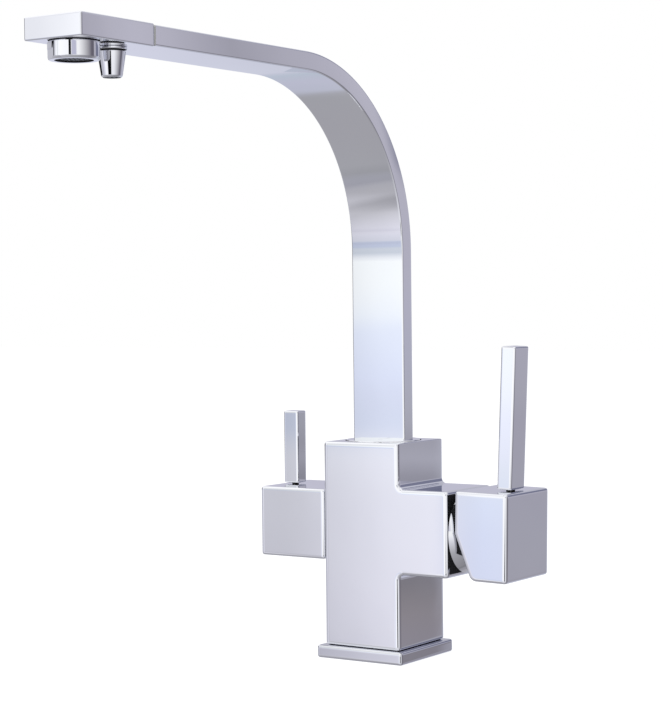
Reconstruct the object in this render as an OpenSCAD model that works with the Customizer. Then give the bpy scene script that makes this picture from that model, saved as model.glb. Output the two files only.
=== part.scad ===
// Three way kitchen tap for hot, cold and filtered water.
// The origin is the middle of the base plate's underside, the spout reaches towards -Y,
// the mixer's handle is on the +X side and the filtered water's handle on the -X side.

/* [Body] */
// Width of the square column, left to right
body_w = 50; // [48:0.5:62]
// Depth of the column, front to back
body_d = 50; // [48:0.5:62]
// Height of the column above its base plate
body_h = 117; // [115:1:145]
// How far the mixer arm stands out from the column
arm_len = 31.8; // [28:0.1:40]
// Height of the mixer arm
arm_h = 48.2; // [46:0.1:60]
// Height of the mixer's axis above the column's foot
arm_rise = 67.2; // [62:0.1:68]
// Height of the filter valve's axis above the column's foot
filter_rise = 69.1; // [66:0.1:70]
// Rounding of the outside edges
edge_r = 1.1; // [0.6:0.1:2]
// Rounding of the inside corners between the column and the arm
corner_r = 3; // [1:0.5:6]

/* [Foot] */
// Width of the square base plate
plate_w = 57; // [54:0.5:70]
// Thickness of the base plate
plate_t = 7.3; // [5:0.1:12]
// Hole through the base plate for the hoses and studs
plate_hole_d = 40; // [39:0.5:44]
// Middle diameter of the seal ring under the plate
foot_seal_d = 47; // [46:0.5:50]
// Width of the seal ring under the plate
foot_seal_w = 3.4; // [2:0.1:4]
// Thickness of the seal ring under the plate
foot_seal_t = 2; // [1:0.1:3]
// Diameter of the inlet block
inlet_d = 38; // [37:0.5:40]
// Height of the inlet block
inlet_h = 20; // [18:0.5:30]
// Core diameter of the hose threads, M10 x 1
port_d = 8.92; // [8:0.01:10]
// Depth of the hose threads
port_len = 12; // [8:0.5:14]
// Hot and cold hose: distance to the right of the column's axis
port_x = 10; // [9:0.1:10.5]
// Hot and cold hose: distance to the front and back of the column's axis
port_y = 8.5; // [7.5:0.1:9]
// Filtered hose: distance to the left of the column's axis
filter_port_x = 13; // [12.8:0.1:13.4]
// Core diameter of the fixing studs' threads, M6
stud_d = 5; // [4:0.1:6]
// Distance between the two fixing studs, front to back
stud_pitch = 27; // [24:0.5:29]
// Distance of the fixing studs to the left of the column's axis
stud_x = 3; // [0:0.5:5]
// Diameter of the drilled waterways
way_d = 5.2; // [4:0.1:6]

/* [Spout swivel] */
// Diameter of the round collar in the column's top
collar_d = 43.4; // [40:0.1:44]
// Thickness of the collar
collar_t = 4.9; // [4:0.1:8]
// How far the collar stands above the column
collar_rise = 0.5; // [0.1:0.1:2]
// Open gap around the collar
collar_gap = 0.3; // [0.2:0.05:0.6]
// Thickness of the glide ring under the collar
glide_t = 1; // [0.5:0.1:2]
// Bore in the column for the spout's stem
stem_bore_d = 30; // [28:0.1:31]
// Length of the stem below the collar
stem_len = 29.4; // [28:0.1:31]
// Height of the mixed water's chamber under the stem
mix_h = 7; // [6:0.1:8]
// Bore for the filtered water's spigot
spigot_bore_d = 10; // [9:0.1:11]
// Length of the filtered water's spigot
spigot_len = 10; // [9:0.1:11]

/* [Spout] */
// Width of the flat spout
spout_w = 34.5; // [30:0.5:40]
// Thickness of the flat spout
spout_t = 10; // [9:0.1:14]
// Wall of the spout
spout_wall = 1.3; // [1:0.1:1.6]
// Rounding of the spout's long edges
spout_edge_r = 0.9; // [0.4:0.1:1.5]
// Height of the spout's top above the worktop
spout_top = 337; // [300:1:420]
// Middle radius of the spout's bend
bend_r = 99; // [60:1:110]
// Distance from the column's axis to the spout's tip
reach = 280; // [240:1:340]
// Length of the outlet head at the tip
head_len = 53.4; // [50:0.1:70]
// Width of the outlet head
head_w = 34.9; // [31:0.1:41]
// Thickness of the outlet head
head_t = 11; // [10:0.1:15]
// Distance from the tip to the aerator's axis
aerator_set = 15; // [14:0.1:20]
// Distance from the aerator's axis to the filter nozzle's axis
nozzle_pitch = 27; // [24:0.1:32]
// Diameter of the filtered water's tube
tube_d = 5; // [4:0.1:5.6]
// Wall of the filtered water's tube
tube_wall = 0.8; // [0.5:0.1:1]

/* [Outlets] */
// Diameter of the aerator's housing
aerator_d = 24.8; // [24:0.1:28]
// Height of the aerator's housing below the spout
aerator_h = 8.8; // [7:0.1:12]
// Thread that holds the aerator's housing
aerator_thread_d = 22; // [20:0.1:23]
// Length of that thread
aerator_thread_len = 4.6; // [3:0.1:5]
// Diameter of the filter nozzle at its top
nozzle_top_d = 13.8; // [12:0.1:15]
// Diameter of the filter nozzle at its mouth
nozzle_end_d = 10.2; // [9:0.1:12]
// Height of the nozzle's cone
nozzle_h = 12.4; // [10:0.1:16]
// Diameter of the ring above the nozzle
ring_d = 15; // [14:0.1:17]
// Height of the ring above the nozzle
ring_h = 2; // [1:0.1:3]

/* [Mixer] */
// Diameter of the mixer cartridge
cart_d = 35; // [32:0.1:36]
// Depth of the cartridge's chamber in the arm
chamber_depth = 35.8; // [34:0.1:37]
// Depth of the handle's pivot behind the arm's end
pivot_depth = 8.8; // [8:0.1:9.5]
// Length of the pivoting spindle outside its pin
spindle_len = 36; // [32:0.1:38]
// Side of the square spindle
spindle_w = 7.8; // [7:0.1:9]
// Diameter of the dome at the arm's end
dome_d = 47.2; // [44:0.1:47.6]
// Height of the dome
dome_h = 8.2; // [7:0.1:9]
// Opening in the dome
dome_hole_d = 26.8; // [25:0.1:28]
// Gap between the arm and the mixer's head
head_gap = 4.2; // [3:0.1:8]
// Length of the mixer's head along its axis
mixer_len = 32.6; // [30:0.1:45]
// Depth of the mixer's head, front to back
mixer_d = 49; // [47:0.5:60]
// Height of the mixer's head
mixer_h = 49; // [47:0.5:60]
// How far the head's middle stands above its axis
mixer_offset = 0.5; // [0:0.1:1]
// Angle of the slant cut that lets the head tilt
slant = 22; // [18:1:26]
// Lean of the shut head, as the photograph shows it
head_lean = 1; // [0:0.5:3]
// Lean of the lever on its head
lever_lean = 1.5; // [0:0.5:4]
// Thickness of the mixer's lever
lever_t = 8.8; // [7:0.1:12]
// Width of the mixer's lever, front to back
lever_w = 16; // [12:0.5:20]
// Length of the mixer's lever
lever_len = 79.3; // [60:0.1:110]
// Distance from the pivot to the lever's axis
lever_set = 34.8; // [30:0.1:38]

/* [Filter valve] */
// Length of the filter handle along its axis
handle_len = 44.6; // [42:0.1:55]
// Depth of the filter handle, front to back
handle_d = 49; // [40:0.5:60]
// Height of the filter handle
handle_h = 40.4; // [36:0.1:50]
// Wall of the hollow filter handle
handle_wall = 2.6; // [2:0.1:4]
// Width of the filter lever along the axis
filter_lever_w = 10; // [8:0.1:14]
// Thickness of the filter lever, front to back
filter_lever_t = 9; // [7:0.1:14]
// Length of the filter lever
filter_lever_len = 42.7; // [35:0.1:70]
// Distance from the lever's axis to the handle's outer end
filter_lever_set = 7.9; // [7:0.1:12]
// Bore in the column for the filter valve
valve_bore_d = 19.2; // [18:0.1:20]
// Depth of that bore
valve_depth = 15; // [14:0.1:15.5]
// Diameter of the filter valve's spindle
filter_spindle_d = 8; // [7:0.1:9]

/* [Fits] */
// Radial clearance of pieces that turn in each other
run_gap = 0.08; // [0.03:0.01:0.1]
// Clearance of pieces that are screwed or pushed together
seat_gap = 0.05; // [0.02:0.01:0.1]
// Gap between a handle and what stands still beside it
handle_gap = 0.4; // [0.3:0.1:1]
// Gap under the foot of each lever
foot_gap = 0.6; // [0.3:0.1:1]

/* [Hidden] */
$fn = 72;
chrome = "#c8cbd2";
brass = "#b9a064";
plastic = "#e4e4e0";
dark_plastic = "#4a4c50";
rubber = "#26282b";
ceramic = "#f2efe6";
steel = "#9aa0a6";

// One overrun serves every cut
over = 1;

// Heights and places that several pieces share
body_top = plate_t + body_h;
arm_end = body_w / 2 + arm_len;
mixer_z = plate_t + arm_rise;
filter_z = plate_t + filter_rise;
collar_top = body_top + collar_rise;
collar_foot = collar_top - collar_t;
recess_floor = collar_foot - run_gap - glide_t;
stem_foot = collar_foot - stem_len;
mix_floor = stem_foot - mix_h;
stem_r = stem_bore_d / 2 - run_gap;
spigot_r = spigot_bore_d / 2 - run_gap;
spout_z = spout_top - spout_t / 2;
bend_z = spout_z - bend_r;
straight_len = reach - head_len - bend_r;
aerator_y = aerator_set - reach;
nozzle_y = aerator_y + nozzle_pitch;
head_foot = spout_z - head_t / 2;
head_y = head_len - reach;

// Waterways inside the body: the cartridge's own ports lie round the mixer's axis
feed_y = 7.5;
feed_up = 5;
mixed_down = 6.5;
mixed_x = 9;
filtered_pocket = 17.5;
lock_screw_d = 5;
lock_drop = 18.5;
lock_groove_w = 5.4;
lock_groove_t = 2.8;

// The cartridge's chamber and the threaded seat of its nut
chamber_play = 0.65;
nut_grip = 1.9;
nut_d = cart_d + 2 * nut_grip;
nut_seat = 11.3;

// Rings of the spout's stem and of its spigot
ring_sect = 2.3;
stem_ring_drops = [6, 13, 26];
spigot_ring_sect = 1.4;
spigot_ring_up = 2;
mixed_way_d = 6.2;
mixed_way_wall = 0.5;
mixed_way_x = stem_r - lock_groove_t - mixed_way_wall - mixed_way_d / 2;
stem_thread_step = 2;
stem_thread_d = stem_bore_d - 2 * stem_thread_step;
stem_thread_len = 3;
collar_edge_r = 0.5;

// The filtered water's tube stands in the stem and is held in the outlet head
tube_seat = stem_foot + 1.5 * tube_wall;
tube_grip = 5;

// Outline with four rounded corners
module rounded_rect(w, h, r) {
    square([w - 2 * r, h], center = true);
    square([w, h - 2 * r], center = true);
    for (sx = [-1, 1], sy = [-1, 1])
        translate([sx * (w / 2 - r), sy * (h / 2 - r)])
            circle(r);
}

// Block with all its edges rounded, centred on the origin
module soft_block(w, d, h, r) {
    intersection() {
        linear_extrude(h, center = true) rounded_rect(w, d, r);
        rotate([90, 0, 0]) linear_extrude(d, center = true) rounded_rect(w, h, r);
        rotate([90, 0, 90]) linear_extrude(w, center = true) rounded_rect(d, h, r);
    }
}

// Flat ring between two radii
module washer(r_out, r_in, t) {
    difference() {
        cylinder(h = t, r = r_out);
        translate([0, 0, -over]) cylinder(h = t + 2 * over, r = r_in);
    }
}

// Round rubber ring about the Z axis
module o_ring(r_mid, sect) {
    rotate_extrude() translate([r_mid, 0]) circle(sect / 2);
}

// Groove cut for a round ring: what it leaves has radius r_in
module groove(r_in, r_out, w) {
    translate([0, 0, -w / 2]) washer(r_out, r_in, w);
}

// Frames: the mixer's axis from the arm's end outwards, and the filter's from the column outwards
module on_arm(depth) {
    translate([arm_end - depth, 0, mixer_z]) rotate([0, 90, 0]) children();
}
module on_pivot() {
    translate([arm_end - pivot_depth, 0, mixer_z]) rotate([0, head_lean, 0]) children();
}
module on_filter(out) {
    translate([-body_w / 2 - out, 0, filter_z]) rotate([0, -90, 0]) children();
}

// Column and arm are one casting, with rounded corners where they meet
module body_form() {
    translate([0, 0, plate_t + body_h / 2]) soft_block(body_w, body_d, body_h, edge_r);
    translate([arm_end / 2, 0, mixer_z]) soft_block(arm_end, body_d, arm_h, edge_r);
    for (side = [-1, 1])
        translate([body_w / 2, 0, mixer_z + side * arm_h / 2])
            rotate([90, 0, 0])
                linear_extrude(body_d - 2 * edge_r, center = true)
                    difference() {
                        translate([-edge_r, side > 0 ? -edge_r : -corner_r])
                            square(corner_r + edge_r);
                        translate([corner_r, side * corner_r]) circle(corner_r);
                    }
}

module body_waterways() {
    for (side = [-1, 1]) {
        translate([port_x, side * feed_y, plate_t + inlet_h - over])
            cylinder(h = mixer_z + feed_up - plate_t - inlet_h + over, d = way_d);
        translate([port_x, side * feed_y, mixer_z + feed_up])
            rotate([0, 90, 0])
                cylinder(h = arm_end - chamber_depth - port_x + over, d = way_d);
    }
    translate([mixed_x, 0, mixer_z - mixed_down])
        cylinder(h = mix_floor - mixer_z + mixed_down + over, d = way_d);
    translate([mixed_x, 0, mixer_z - mixed_down])
        rotate([0, 90, 0])
            cylinder(h = arm_end - chamber_depth - mixed_x + over, d = way_d);
    translate([-filter_port_x, 0, plate_t + inlet_h - over])
        cylinder(h = filter_z - plate_t - inlet_h, d = way_d);
    translate([-body_w / 2 + valve_depth - over, 0, filter_z])
        rotate([0, 90, 0])
            cylinder(h = body_w / 2 - valve_depth + over, d = way_d);
}

module tap_body() {
    color(chrome)
        difference() {
            body_form();
            translate([0, 0, recess_floor]) cylinder(h = body_h, r = collar_d / 2 + collar_gap);
            translate([0, 0, mix_floor]) cylinder(h = body_h, d = stem_bore_d);
            translate([0, 0, mix_floor - filtered_pocket])
                cylinder(h = filtered_pocket + over, d = spigot_bore_d);
            translate([0, body_d / 2 + over, collar_foot - lock_drop])
                rotate([90, 0, 0])
                    cylinder(h = body_d / 2 - stem_bore_d / 2 + 2 * over, d = lock_screw_d);
            translate([0, 0, plate_t - over])
                cylinder(h = inlet_h + over, r = inlet_d / 2 + seat_gap);
            on_arm(chamber_depth) cylinder(h = chamber_depth + over, r = cart_d / 2 + chamber_play);
            on_arm(nut_seat) cylinder(h = nut_seat + over, r = nut_d / 2 + seat_gap);
            on_filter(-valve_depth) cylinder(h = valve_depth + over, d = valve_bore_d);
            body_waterways();
        }
}

// Foot: square plate, seal and inlet block
module base_plate() {
    color(chrome)
        difference() {
            translate([0, 0, plate_t / 2]) soft_block(plate_w, plate_w, plate_t, edge_r);
            translate([0, 0, -over]) cylinder(h = plate_t + 2 * over, d = plate_hole_d);
            translate([0, 0, -over])
                washer(
                    (foot_seal_d + foot_seal_w) / 2, (foot_seal_d - foot_seal_w) / 2,
                    foot_seal_t + over
                );
        }
}

module base_seal() {
    color(rubber)
        washer(
            (foot_seal_d + foot_seal_w) / 2 - seat_gap,
            (foot_seal_d - foot_seal_w) / 2 + seat_gap,
            foot_seal_t
        );
}

inlet_ring_up = 15;
inlet_ring_sect = 1.8;
module inlet_block() {
    color(brass)
        translate([0, 0, plate_t])
            difference() {
                cylinder(h = inlet_h, d = inlet_d);
                for (side = [-1, 1]) {
                    translate([port_x, side * port_y, -over])
                        cylinder(h = port_len + over, d = port_d);
                    translate([port_x, side * feed_y, -over])
                        cylinder(h = inlet_h + 2 * over, d = way_d);
                    translate([-stud_x, side * stud_pitch / 2, -over])
                        cylinder(h = port_len + over, d = stud_d);
                }
                translate([-filter_port_x, 0, -over]) cylinder(h = port_len + over, d = port_d);
                translate([-filter_port_x, 0, -over]) cylinder(h = inlet_h + 2 * over, d = way_d);
                translate([0, 0, inlet_ring_up])
                    groove(
                        inlet_d / 2 - inlet_ring_sect + seat_gap, inlet_d,
                        inlet_ring_sect + 2 * seat_gap
                    );
            }
}

module inlet_seal() {
    color(rubber)
        translate([0, 0, plate_t + inlet_ring_up])
            o_ring(inlet_d / 2 - inlet_ring_sect / 2 + seat_gap, inlet_ring_sect - 2 * seat_gap);
}

// Spout swivel: glide ring, collar, stem, rings and the screw that holds the stem down
module glide_ring() {
    color(plastic)
        translate([0, 0, recess_floor])
            washer(collar_d / 2, stem_bore_d / 2, glide_t);
}

module mixed_ways(h) {
    for (side = [-1, 1])
        translate([side * mixed_way_x, 0, 0]) cylinder(h = h, d = mixed_way_d);
}

module spout_collar() {
    color(chrome)
        translate([0, 0, collar_foot])
            difference() {
                union() {
                    cylinder(h = collar_t - collar_edge_r, d = collar_d);
                    cylinder(h = collar_t, r = collar_d / 2 - collar_edge_r);
                    translate([0, 0, collar_t - collar_edge_r])
                        o_ring(collar_d / 2 - collar_edge_r, 2 * collar_edge_r);
                }
                translate([0, 0, -over])
                    cylinder(h = stem_thread_len + over, r = stem_thread_d / 2 + seat_gap);
                cylinder(h = collar_t + over, r = tube_d / 2 + seat_gap);
                mixed_ways(collar_t + over);
            }
}

module spout_stem() {
    color(brass)
        difference() {
            union() {
                translate([0, 0, stem_foot]) cylinder(h = stem_len, r = stem_r);
                translate([0, 0, stem_foot])
                    cylinder(h = stem_len + stem_thread_len - seat_gap, d = stem_thread_d);
                translate([0, 0, stem_foot - spigot_len])
                    cylinder(h = spigot_len + over, r = spigot_r);
            }
            for (drop = stem_ring_drops)
                translate([0, 0, collar_foot - drop])
                    groove(stem_r - ring_sect + seat_gap, stem_bore_d, ring_sect + 2 * seat_gap);
            translate([0, 0, collar_foot - lock_drop])
                groove(stem_r - lock_groove_t, stem_bore_d, lock_groove_w);
            translate([0, 0, stem_foot - spigot_len + spigot_ring_up])
                groove(
                    spigot_r - spigot_ring_sect + seat_gap, spigot_bore_d,
                    spigot_ring_sect + 2 * seat_gap
                );
            translate([0, 0, tube_seat])
                cylinder(h = body_h, r = tube_d / 2 + seat_gap);
            translate([0, 0, stem_foot - spigot_len - over])
                cylinder(h = body_h, r = tube_d / 2 - tube_wall);
            translate([0, 0, stem_foot - over])
                mixed_ways(stem_len + stem_thread_len + 2 * over);
        }
}

module stem_seals() {
    color(rubber) {
        for (drop = stem_ring_drops)
            translate([0, 0, collar_foot - drop])
                o_ring(stem_r - ring_sect / 2 + seat_gap, ring_sect - 2 * seat_gap);
        translate([0, 0, stem_foot - spigot_len + spigot_ring_up])
            o_ring(spigot_r - spigot_ring_sect / 2 + seat_gap, spigot_ring_sect - 2 * seat_gap);
    }
}

lock_screw_len = 8;
lock_tip_d = 3.6;
lock_tip_len = 2;
hex_socket_d = 2.9;
hex_socket_len = 3;
// Headless screw about Z, its tip at the origin and its socket at the far end
module grub_screw(d, len, tip_d, tip_len) {
    difference() {
        union() {
            cylinder(h = tip_len + over, d = tip_d);
            translate([0, 0, tip_len]) cylinder(h = len - tip_len, d = d);
        }
        translate([0, 0, len - hex_socket_len])
            cylinder(h = hex_socket_len + over, d = hex_socket_d, $fn = 6);
    }
}

module spout_lock_screw() {
    color(steel)
        translate([0, stem_r - lock_tip_len + seat_gap, collar_foot - lock_drop])
            rotate([-90, 0, 0])
                grub_screw(
                    lock_screw_d - 2 * seat_gap, lock_screw_len, lock_tip_d, lock_tip_len
                );
}

// Ribbon that climbs from the collar, bends forwards and runs level to the outlet head
module spout_run(w, t, r, extra) {
    translate([0, 0, collar_top - extra])
        linear_extrude(bend_z - collar_top + extra)
            rounded_rect(w, t, r);
    translate([0, -bend_r, bend_z])
        rotate([90, 0, 90])
            rotate_extrude(angle = 90)
                translate([bend_r, 0])
                    rounded_rect(t, w, r);
    translate([0, -bend_r, spout_z])
        rotate([90, 0, 0])
            linear_extrude(straight_len + extra)
                rounded_rect(w, t, r);
}

module spout_tube() {
    color(chrome)
        difference() {
            spout_run(spout_w, spout_t, spout_edge_r, 0);
            spout_run(
                spout_w - 2 * spout_wall, spout_t - 2 * spout_wall, spout_edge_r / 2, over
            );
        }
}

// Filtered water keeps to its own tube, from its seat in the stem to the outlet head
module tube_run(d, extra) {
    translate([0, 0, tube_seat - extra]) cylinder(h = bend_z - tube_seat + extra, d = d);
    translate([0, -bend_r, bend_z])
        rotate([90, 0, 90])
            rotate_extrude(angle = 90)
                translate([bend_r, 0])
                    circle(d = d);
    translate([0, -bend_r, spout_z])
        rotate([90, 0, 0])
            cylinder(h = straight_len + tube_grip + extra, d = d);
}

module filter_tube() {
    color(plastic)
        difference() {
            tube_run(tube_d, 0);
            tube_run(tube_d - 2 * tube_wall, over);
        }
}

// Outlet head: a block with a tongue that enters the spout
tongue_len = 8;
tongue_gap = 0.1;
joint_ring_w = 1.6;
joint_ring_t = 0.6;
aerator_pocket_up = 7;
nozzle_thread_d = 8;
nozzle_thread_len = 5;
module head_tongue(shrink, y0, len) {
    translate([0, y0, spout_z])
        rotate([-90, 0, 0])
            linear_extrude(len)
                rounded_rect(
                    spout_w - 2 * spout_wall - 2 * shrink,
                    spout_t - 2 * spout_wall - 2 * shrink,
                    spout_edge_r / 2
                );
}

module spout_head() {
    color(chrome)
        difference() {
            union() {
                translate([0, head_y - head_len / 2, spout_z])
                    soft_block(head_w, head_len, head_t, spout_edge_r);
                head_tongue(tongue_gap, head_y - over, tongue_len + over);
            }
            difference() {
                translate([0, head_y + tongue_len / 2, spout_z])
                    cube([spout_w, joint_ring_w, spout_t], center = true);
                head_tongue(joint_ring_t, head_y + tongue_len / 2 - joint_ring_w, spout_w);
            }
            translate([0, head_y + tongue_len + over, spout_z])
                rotate([90, 0, 0])
                    cylinder(h = tongue_len + tube_grip + over, r = tube_d / 2 + seat_gap);
            translate([0, head_y, spout_z])
                rotate([90, 0, 0])
                    cylinder(h = head_y - nozzle_y, r = tube_d / 2 - tube_wall);
            for (side = [-1, 1])
                translate([side * (spout_w / 2 - mixed_way_d), head_y + tongue_len + over, spout_z])
                    rotate([90, 0, 0])
                        cylinder(h = head_y + tongue_len + over - aerator_y, d = way_d);
            translate([0, aerator_y, head_foot - over])
                cylinder(h = aerator_pocket_up + over, r = aerator_thread_d / 2 + seat_gap);
            translate([0, nozzle_y, head_foot - over])
                cylinder(h = nozzle_thread_len + over, r = nozzle_thread_d / 2 + seat_gap);
            translate([0, nozzle_y, head_foot])
                cylinder(h = head_t / 2, d = nozzle_bore_d);
        }
}

module spout_joint_seal() {
    color(rubber)
        difference() {
            head_tongue(
                seat_gap, head_y + tongue_len / 2 - joint_ring_w / 2 + seat_gap,
                joint_ring_w - 2 * seat_gap
            );
            head_tongue(
                joint_ring_t - seat_gap, head_y + tongue_len / 2 - joint_ring_w, 2 * joint_ring_w
            );
        }
}

// Aerator: a round housing with two wrench flats, an insert of fine holes and a washer
aerator_wall = 1.2;
aerator_lip = 0.6;
aerator_rim_h = 1.4;
flat_depth = 0.7;
flat_h = 5.2;
insert_h = 7;
insert_hole_d = 1.3;
insert_hole_pitch = 2.3;
insert_rings = 3;
insert_step = 2;
module aerator_housing() {
    r = aerator_d / 2;
    color(chrome)
        translate([0, aerator_y, head_foot - aerator_h])
            difference() {
                union() {
                    cylinder(h = aerator_rim_h, r1 = r - aerator_lip, r2 = r);
                    translate([0, 0, aerator_rim_h])
                        cylinder(h = aerator_h - aerator_rim_h - seat_gap, r = r);
                    cylinder(
                        h = aerator_h + aerator_thread_len, d = aerator_thread_d - 2 * seat_gap
                    );
                }
                translate([0, 0, aerator_lip])
                    cylinder(h = aerator_h * 2, r = aerator_thread_d / 2 - aerator_wall);
                translate([0, 0, -over])
                    cylinder(
                        h = aerator_h, r = aerator_thread_d / 2 - aerator_wall - aerator_lip
                    );
                for (turn = [0, 180])
                    rotate([0, 0, turn])
                        translate([r - flat_depth, -r, aerator_rim_h])
                            cube([aerator_d, aerator_d, flat_h]);
            }
}

module aerator_insert() {
    r = aerator_thread_d / 2 - aerator_wall - seat_gap;
    color(dark_plastic)
        translate([0, aerator_y, head_foot - aerator_h + aerator_lip + seat_gap])
            difference() {
                cylinder(h = insert_h, r = r);
                translate([0, 0, insert_step]) cylinder(h = insert_h, r = r - aerator_wall);
                for (ring = [0 : insert_rings], k = [0 : max(0, 6 * ring - 1)])
                    rotate([0, 0, ring == 0 ? 0 : 60 * k / ring])
                        translate([ring * insert_hole_pitch, 0, -over])
                            cylinder(h = insert_step + 2 * over, d = insert_hole_d);
            }
}

module aerator_seal() {
    color(rubber)
        translate([0, aerator_y, head_foot + aerator_thread_len])
            washer(
                aerator_thread_d / 2 - seat_gap, aerator_thread_d / 2 - 2 * aerator_wall,
                aerator_pocket_up - aerator_thread_len
            );
}

// Filtered water's nozzle hangs from a small ring behind the aerator
nozzle_bore_d = 4.4;
nozzle_edge_r = 0.8;
nozzle_mouth_d = 7.4;
nozzle_mouth_h = 4;
module nozzle_ring() {
    color(chrome)
        translate([0, nozzle_y, head_foot - ring_h])
            washer(ring_d / 2, nozzle_thread_d / 2 + seat_gap, ring_h - seat_gap);
}

module filter_nozzle() {
    color(chrome)
        translate([0, nozzle_y, head_foot - ring_h - seat_gap - nozzle_h])
            difference() {
                union() {
                    translate([0, 0, nozzle_edge_r])
                        cylinder(
                            h = nozzle_h - nozzle_edge_r, r1 = nozzle_end_d / 2,
                            r2 = nozzle_top_d / 2
                        );
                    cylinder(
                        h = nozzle_edge_r, r1 = nozzle_end_d / 2 - nozzle_edge_r,
                        r2 = nozzle_end_d / 2
                    );
                    cylinder(
                        h = nozzle_h + ring_h + nozzle_thread_len - seat_gap,
                        r = nozzle_thread_d / 2
                    );
                }
                translate([0, 0, -over])
                    cylinder(h = nozzle_h * 2, d = nozzle_bore_d);
                translate([0, 0, -over])
                    cylinder(h = nozzle_mouth_h + over, d = nozzle_mouth_d);
            }
}

module nozzle_insert() {
    color(dark_plastic)
        translate([0, nozzle_y, head_foot - ring_h - nozzle_h])
            difference() {
                cylinder(h = nozzle_mouth_h - 2 * seat_gap, r = nozzle_mouth_d / 2 - seat_gap);
                for (turn = [0 : 60 : 300])
                    rotate([0, 0, turn])
                        translate([insert_hole_pitch, 0, -over])
                            cylinder(h = nozzle_mouth_h + 2 * over, d = insert_hole_d);
                translate([0, 0, -over])
                    cylinder(h = nozzle_mouth_h + 2 * over, d = insert_hole_d);
            }
}

// Mixer cartridge: depths are measured outwards from the chamber's floor
seal_t = 1;
cart_base_t = 3;
cart_wall = 2;
cart_inner_d = cart_d - 2 * cart_wall;
cart_len = 23.5;
cart_shoulder = 4.9;
cart_neck_d = cart_d - 2 * cart_shoulder;
cart_neck_len = 5;
cart_neck_wall = 2.2;
cart_bore_d = cart_neck_d - 2 * cart_neck_wall;
disc_t = 4;
disc_way_step = 0.2;
disc_room = 3.5;
moving_disc_d = cart_inner_d - 2 * disc_room;
carriage_step = 0.2;
carriage_d = moving_disc_d - 2 * carriage_step;
carriage_t = 8.4;
rotor_flange_play = 0.5;
rotor_flange_d = cart_inner_d - 2 * rotor_flange_play;
rotor_flange_t = 1.4;
stack_gap = 0.3;
pin_d = 3;
foot_arm = 8;
foot_d = 4.6;
foot_stem_d = 3.8;
foot_play = 0.15;
foot_mouth_d = 8.8;
foot_mouth_h = 0.8;
tongue_t = 1.8;
tongue_mid = (cart_bore_d - tongue_t) / 2;
tongue_w = 6;
tongue_drop = 3;
tongue_play = 0.2;
port_seal_w = 1.4;
base_z = seal_t + cart_base_t;
carriage_z = base_z + 2 * disc_t;
rotor_z = carriage_z + carriage_t + stack_gap;
pivot_up = chamber_depth - pivot_depth;
foot_shift = foot_arm * sin(head_lean);

// Places of the hot, cold and mixed ports in the cartridge's frame, where +X is down
module at_ports() {
    for (side = [-1, 1]) translate([-feed_up, side * feed_y, 0]) children();
    translate([mixed_down, 0, 0]) children();
}

module cartridge_housing() {
    color(plastic)
        on_arm(chamber_depth)
            difference() {
                union() {
                    translate([0, 0, seal_t]) cylinder(h = cart_len, d = cart_d);
                    translate([0, 0, seal_t])
                        cylinder(h = cart_len + cart_neck_len, d = cart_neck_d);
                }
                translate([0, 0, base_z])
                    cylinder(
                        h = cart_len - cart_base_t - cart_wall, d = cart_inner_d
                    );
                translate([0, 0, carriage_z]) cylinder(h = chamber_depth, d = cart_bore_d);
                at_ports() cylinder(h = base_z + over, d = way_d);
            }
}

module cartridge_seals() {
    color(rubber)
        on_arm(chamber_depth)
            at_ports() washer(way_d / 2 + port_seal_w, way_d / 2, seal_t);
}

module fixed_disc() {
    color(ceramic)
        on_arm(chamber_depth)
            translate([0, 0, base_z])
                difference() {
                    cylinder(h = disc_t, d = cart_inner_d - stack_gap);
                    translate([0, 0, -over])
                        at_ports() cylinder(h = disc_t + 2 * over, d = way_d - 2 * disc_way_step);
                }
}

// The moving disc's pocket joins the ports to the outlet when the lever lifts it
pocket_t = 2;
pocket_wall = 2.5;
pocket_d = moving_disc_d - 2 * pocket_wall;
pocket_top = 2.3;
module moving_disc() {
    color(ceramic)
        on_arm(chamber_depth)
            translate([-foot_shift, 0, base_z + disc_t])
                difference() {
                    cylinder(h = disc_t, d = moving_disc_d);
                    intersection() {
                        translate([0, 0, -over]) cylinder(h = pocket_t + over, d = pocket_d);
                        translate([-pocket_top, -pocket_d / 2, -over])
                            cube([pocket_d, pocket_d, pocket_t + over]);
                    }
                }
}

module disc_carriage() {
    socket_z = pivot_up - foot_arm - foot_d / 2 - foot_play - carriage_z;
    color(dark_plastic)
        on_arm(chamber_depth)
            translate([-foot_shift, 0, carriage_z])
                difference() {
                    cylinder(h = carriage_t, d = carriage_d);
                    translate([0, 0, socket_z])
                        cylinder(h = carriage_t, d = foot_d + 2 * foot_play);
                    translate([0, 0, carriage_t - foot_mouth_h])
                        cylinder(h = foot_mouth_h + over, d = foot_mouth_d);
                    for (side = [-1, 1])
                        translate([
                            -carriage_d, side * tongue_mid - tongue_t / 2 - tongue_play,
                            carriage_t - tongue_drop
                        ])
                            cube([
                                2 * carriage_d, tongue_t + 2 * tongue_play, tongue_drop + over
                            ]);
                }
}

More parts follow.
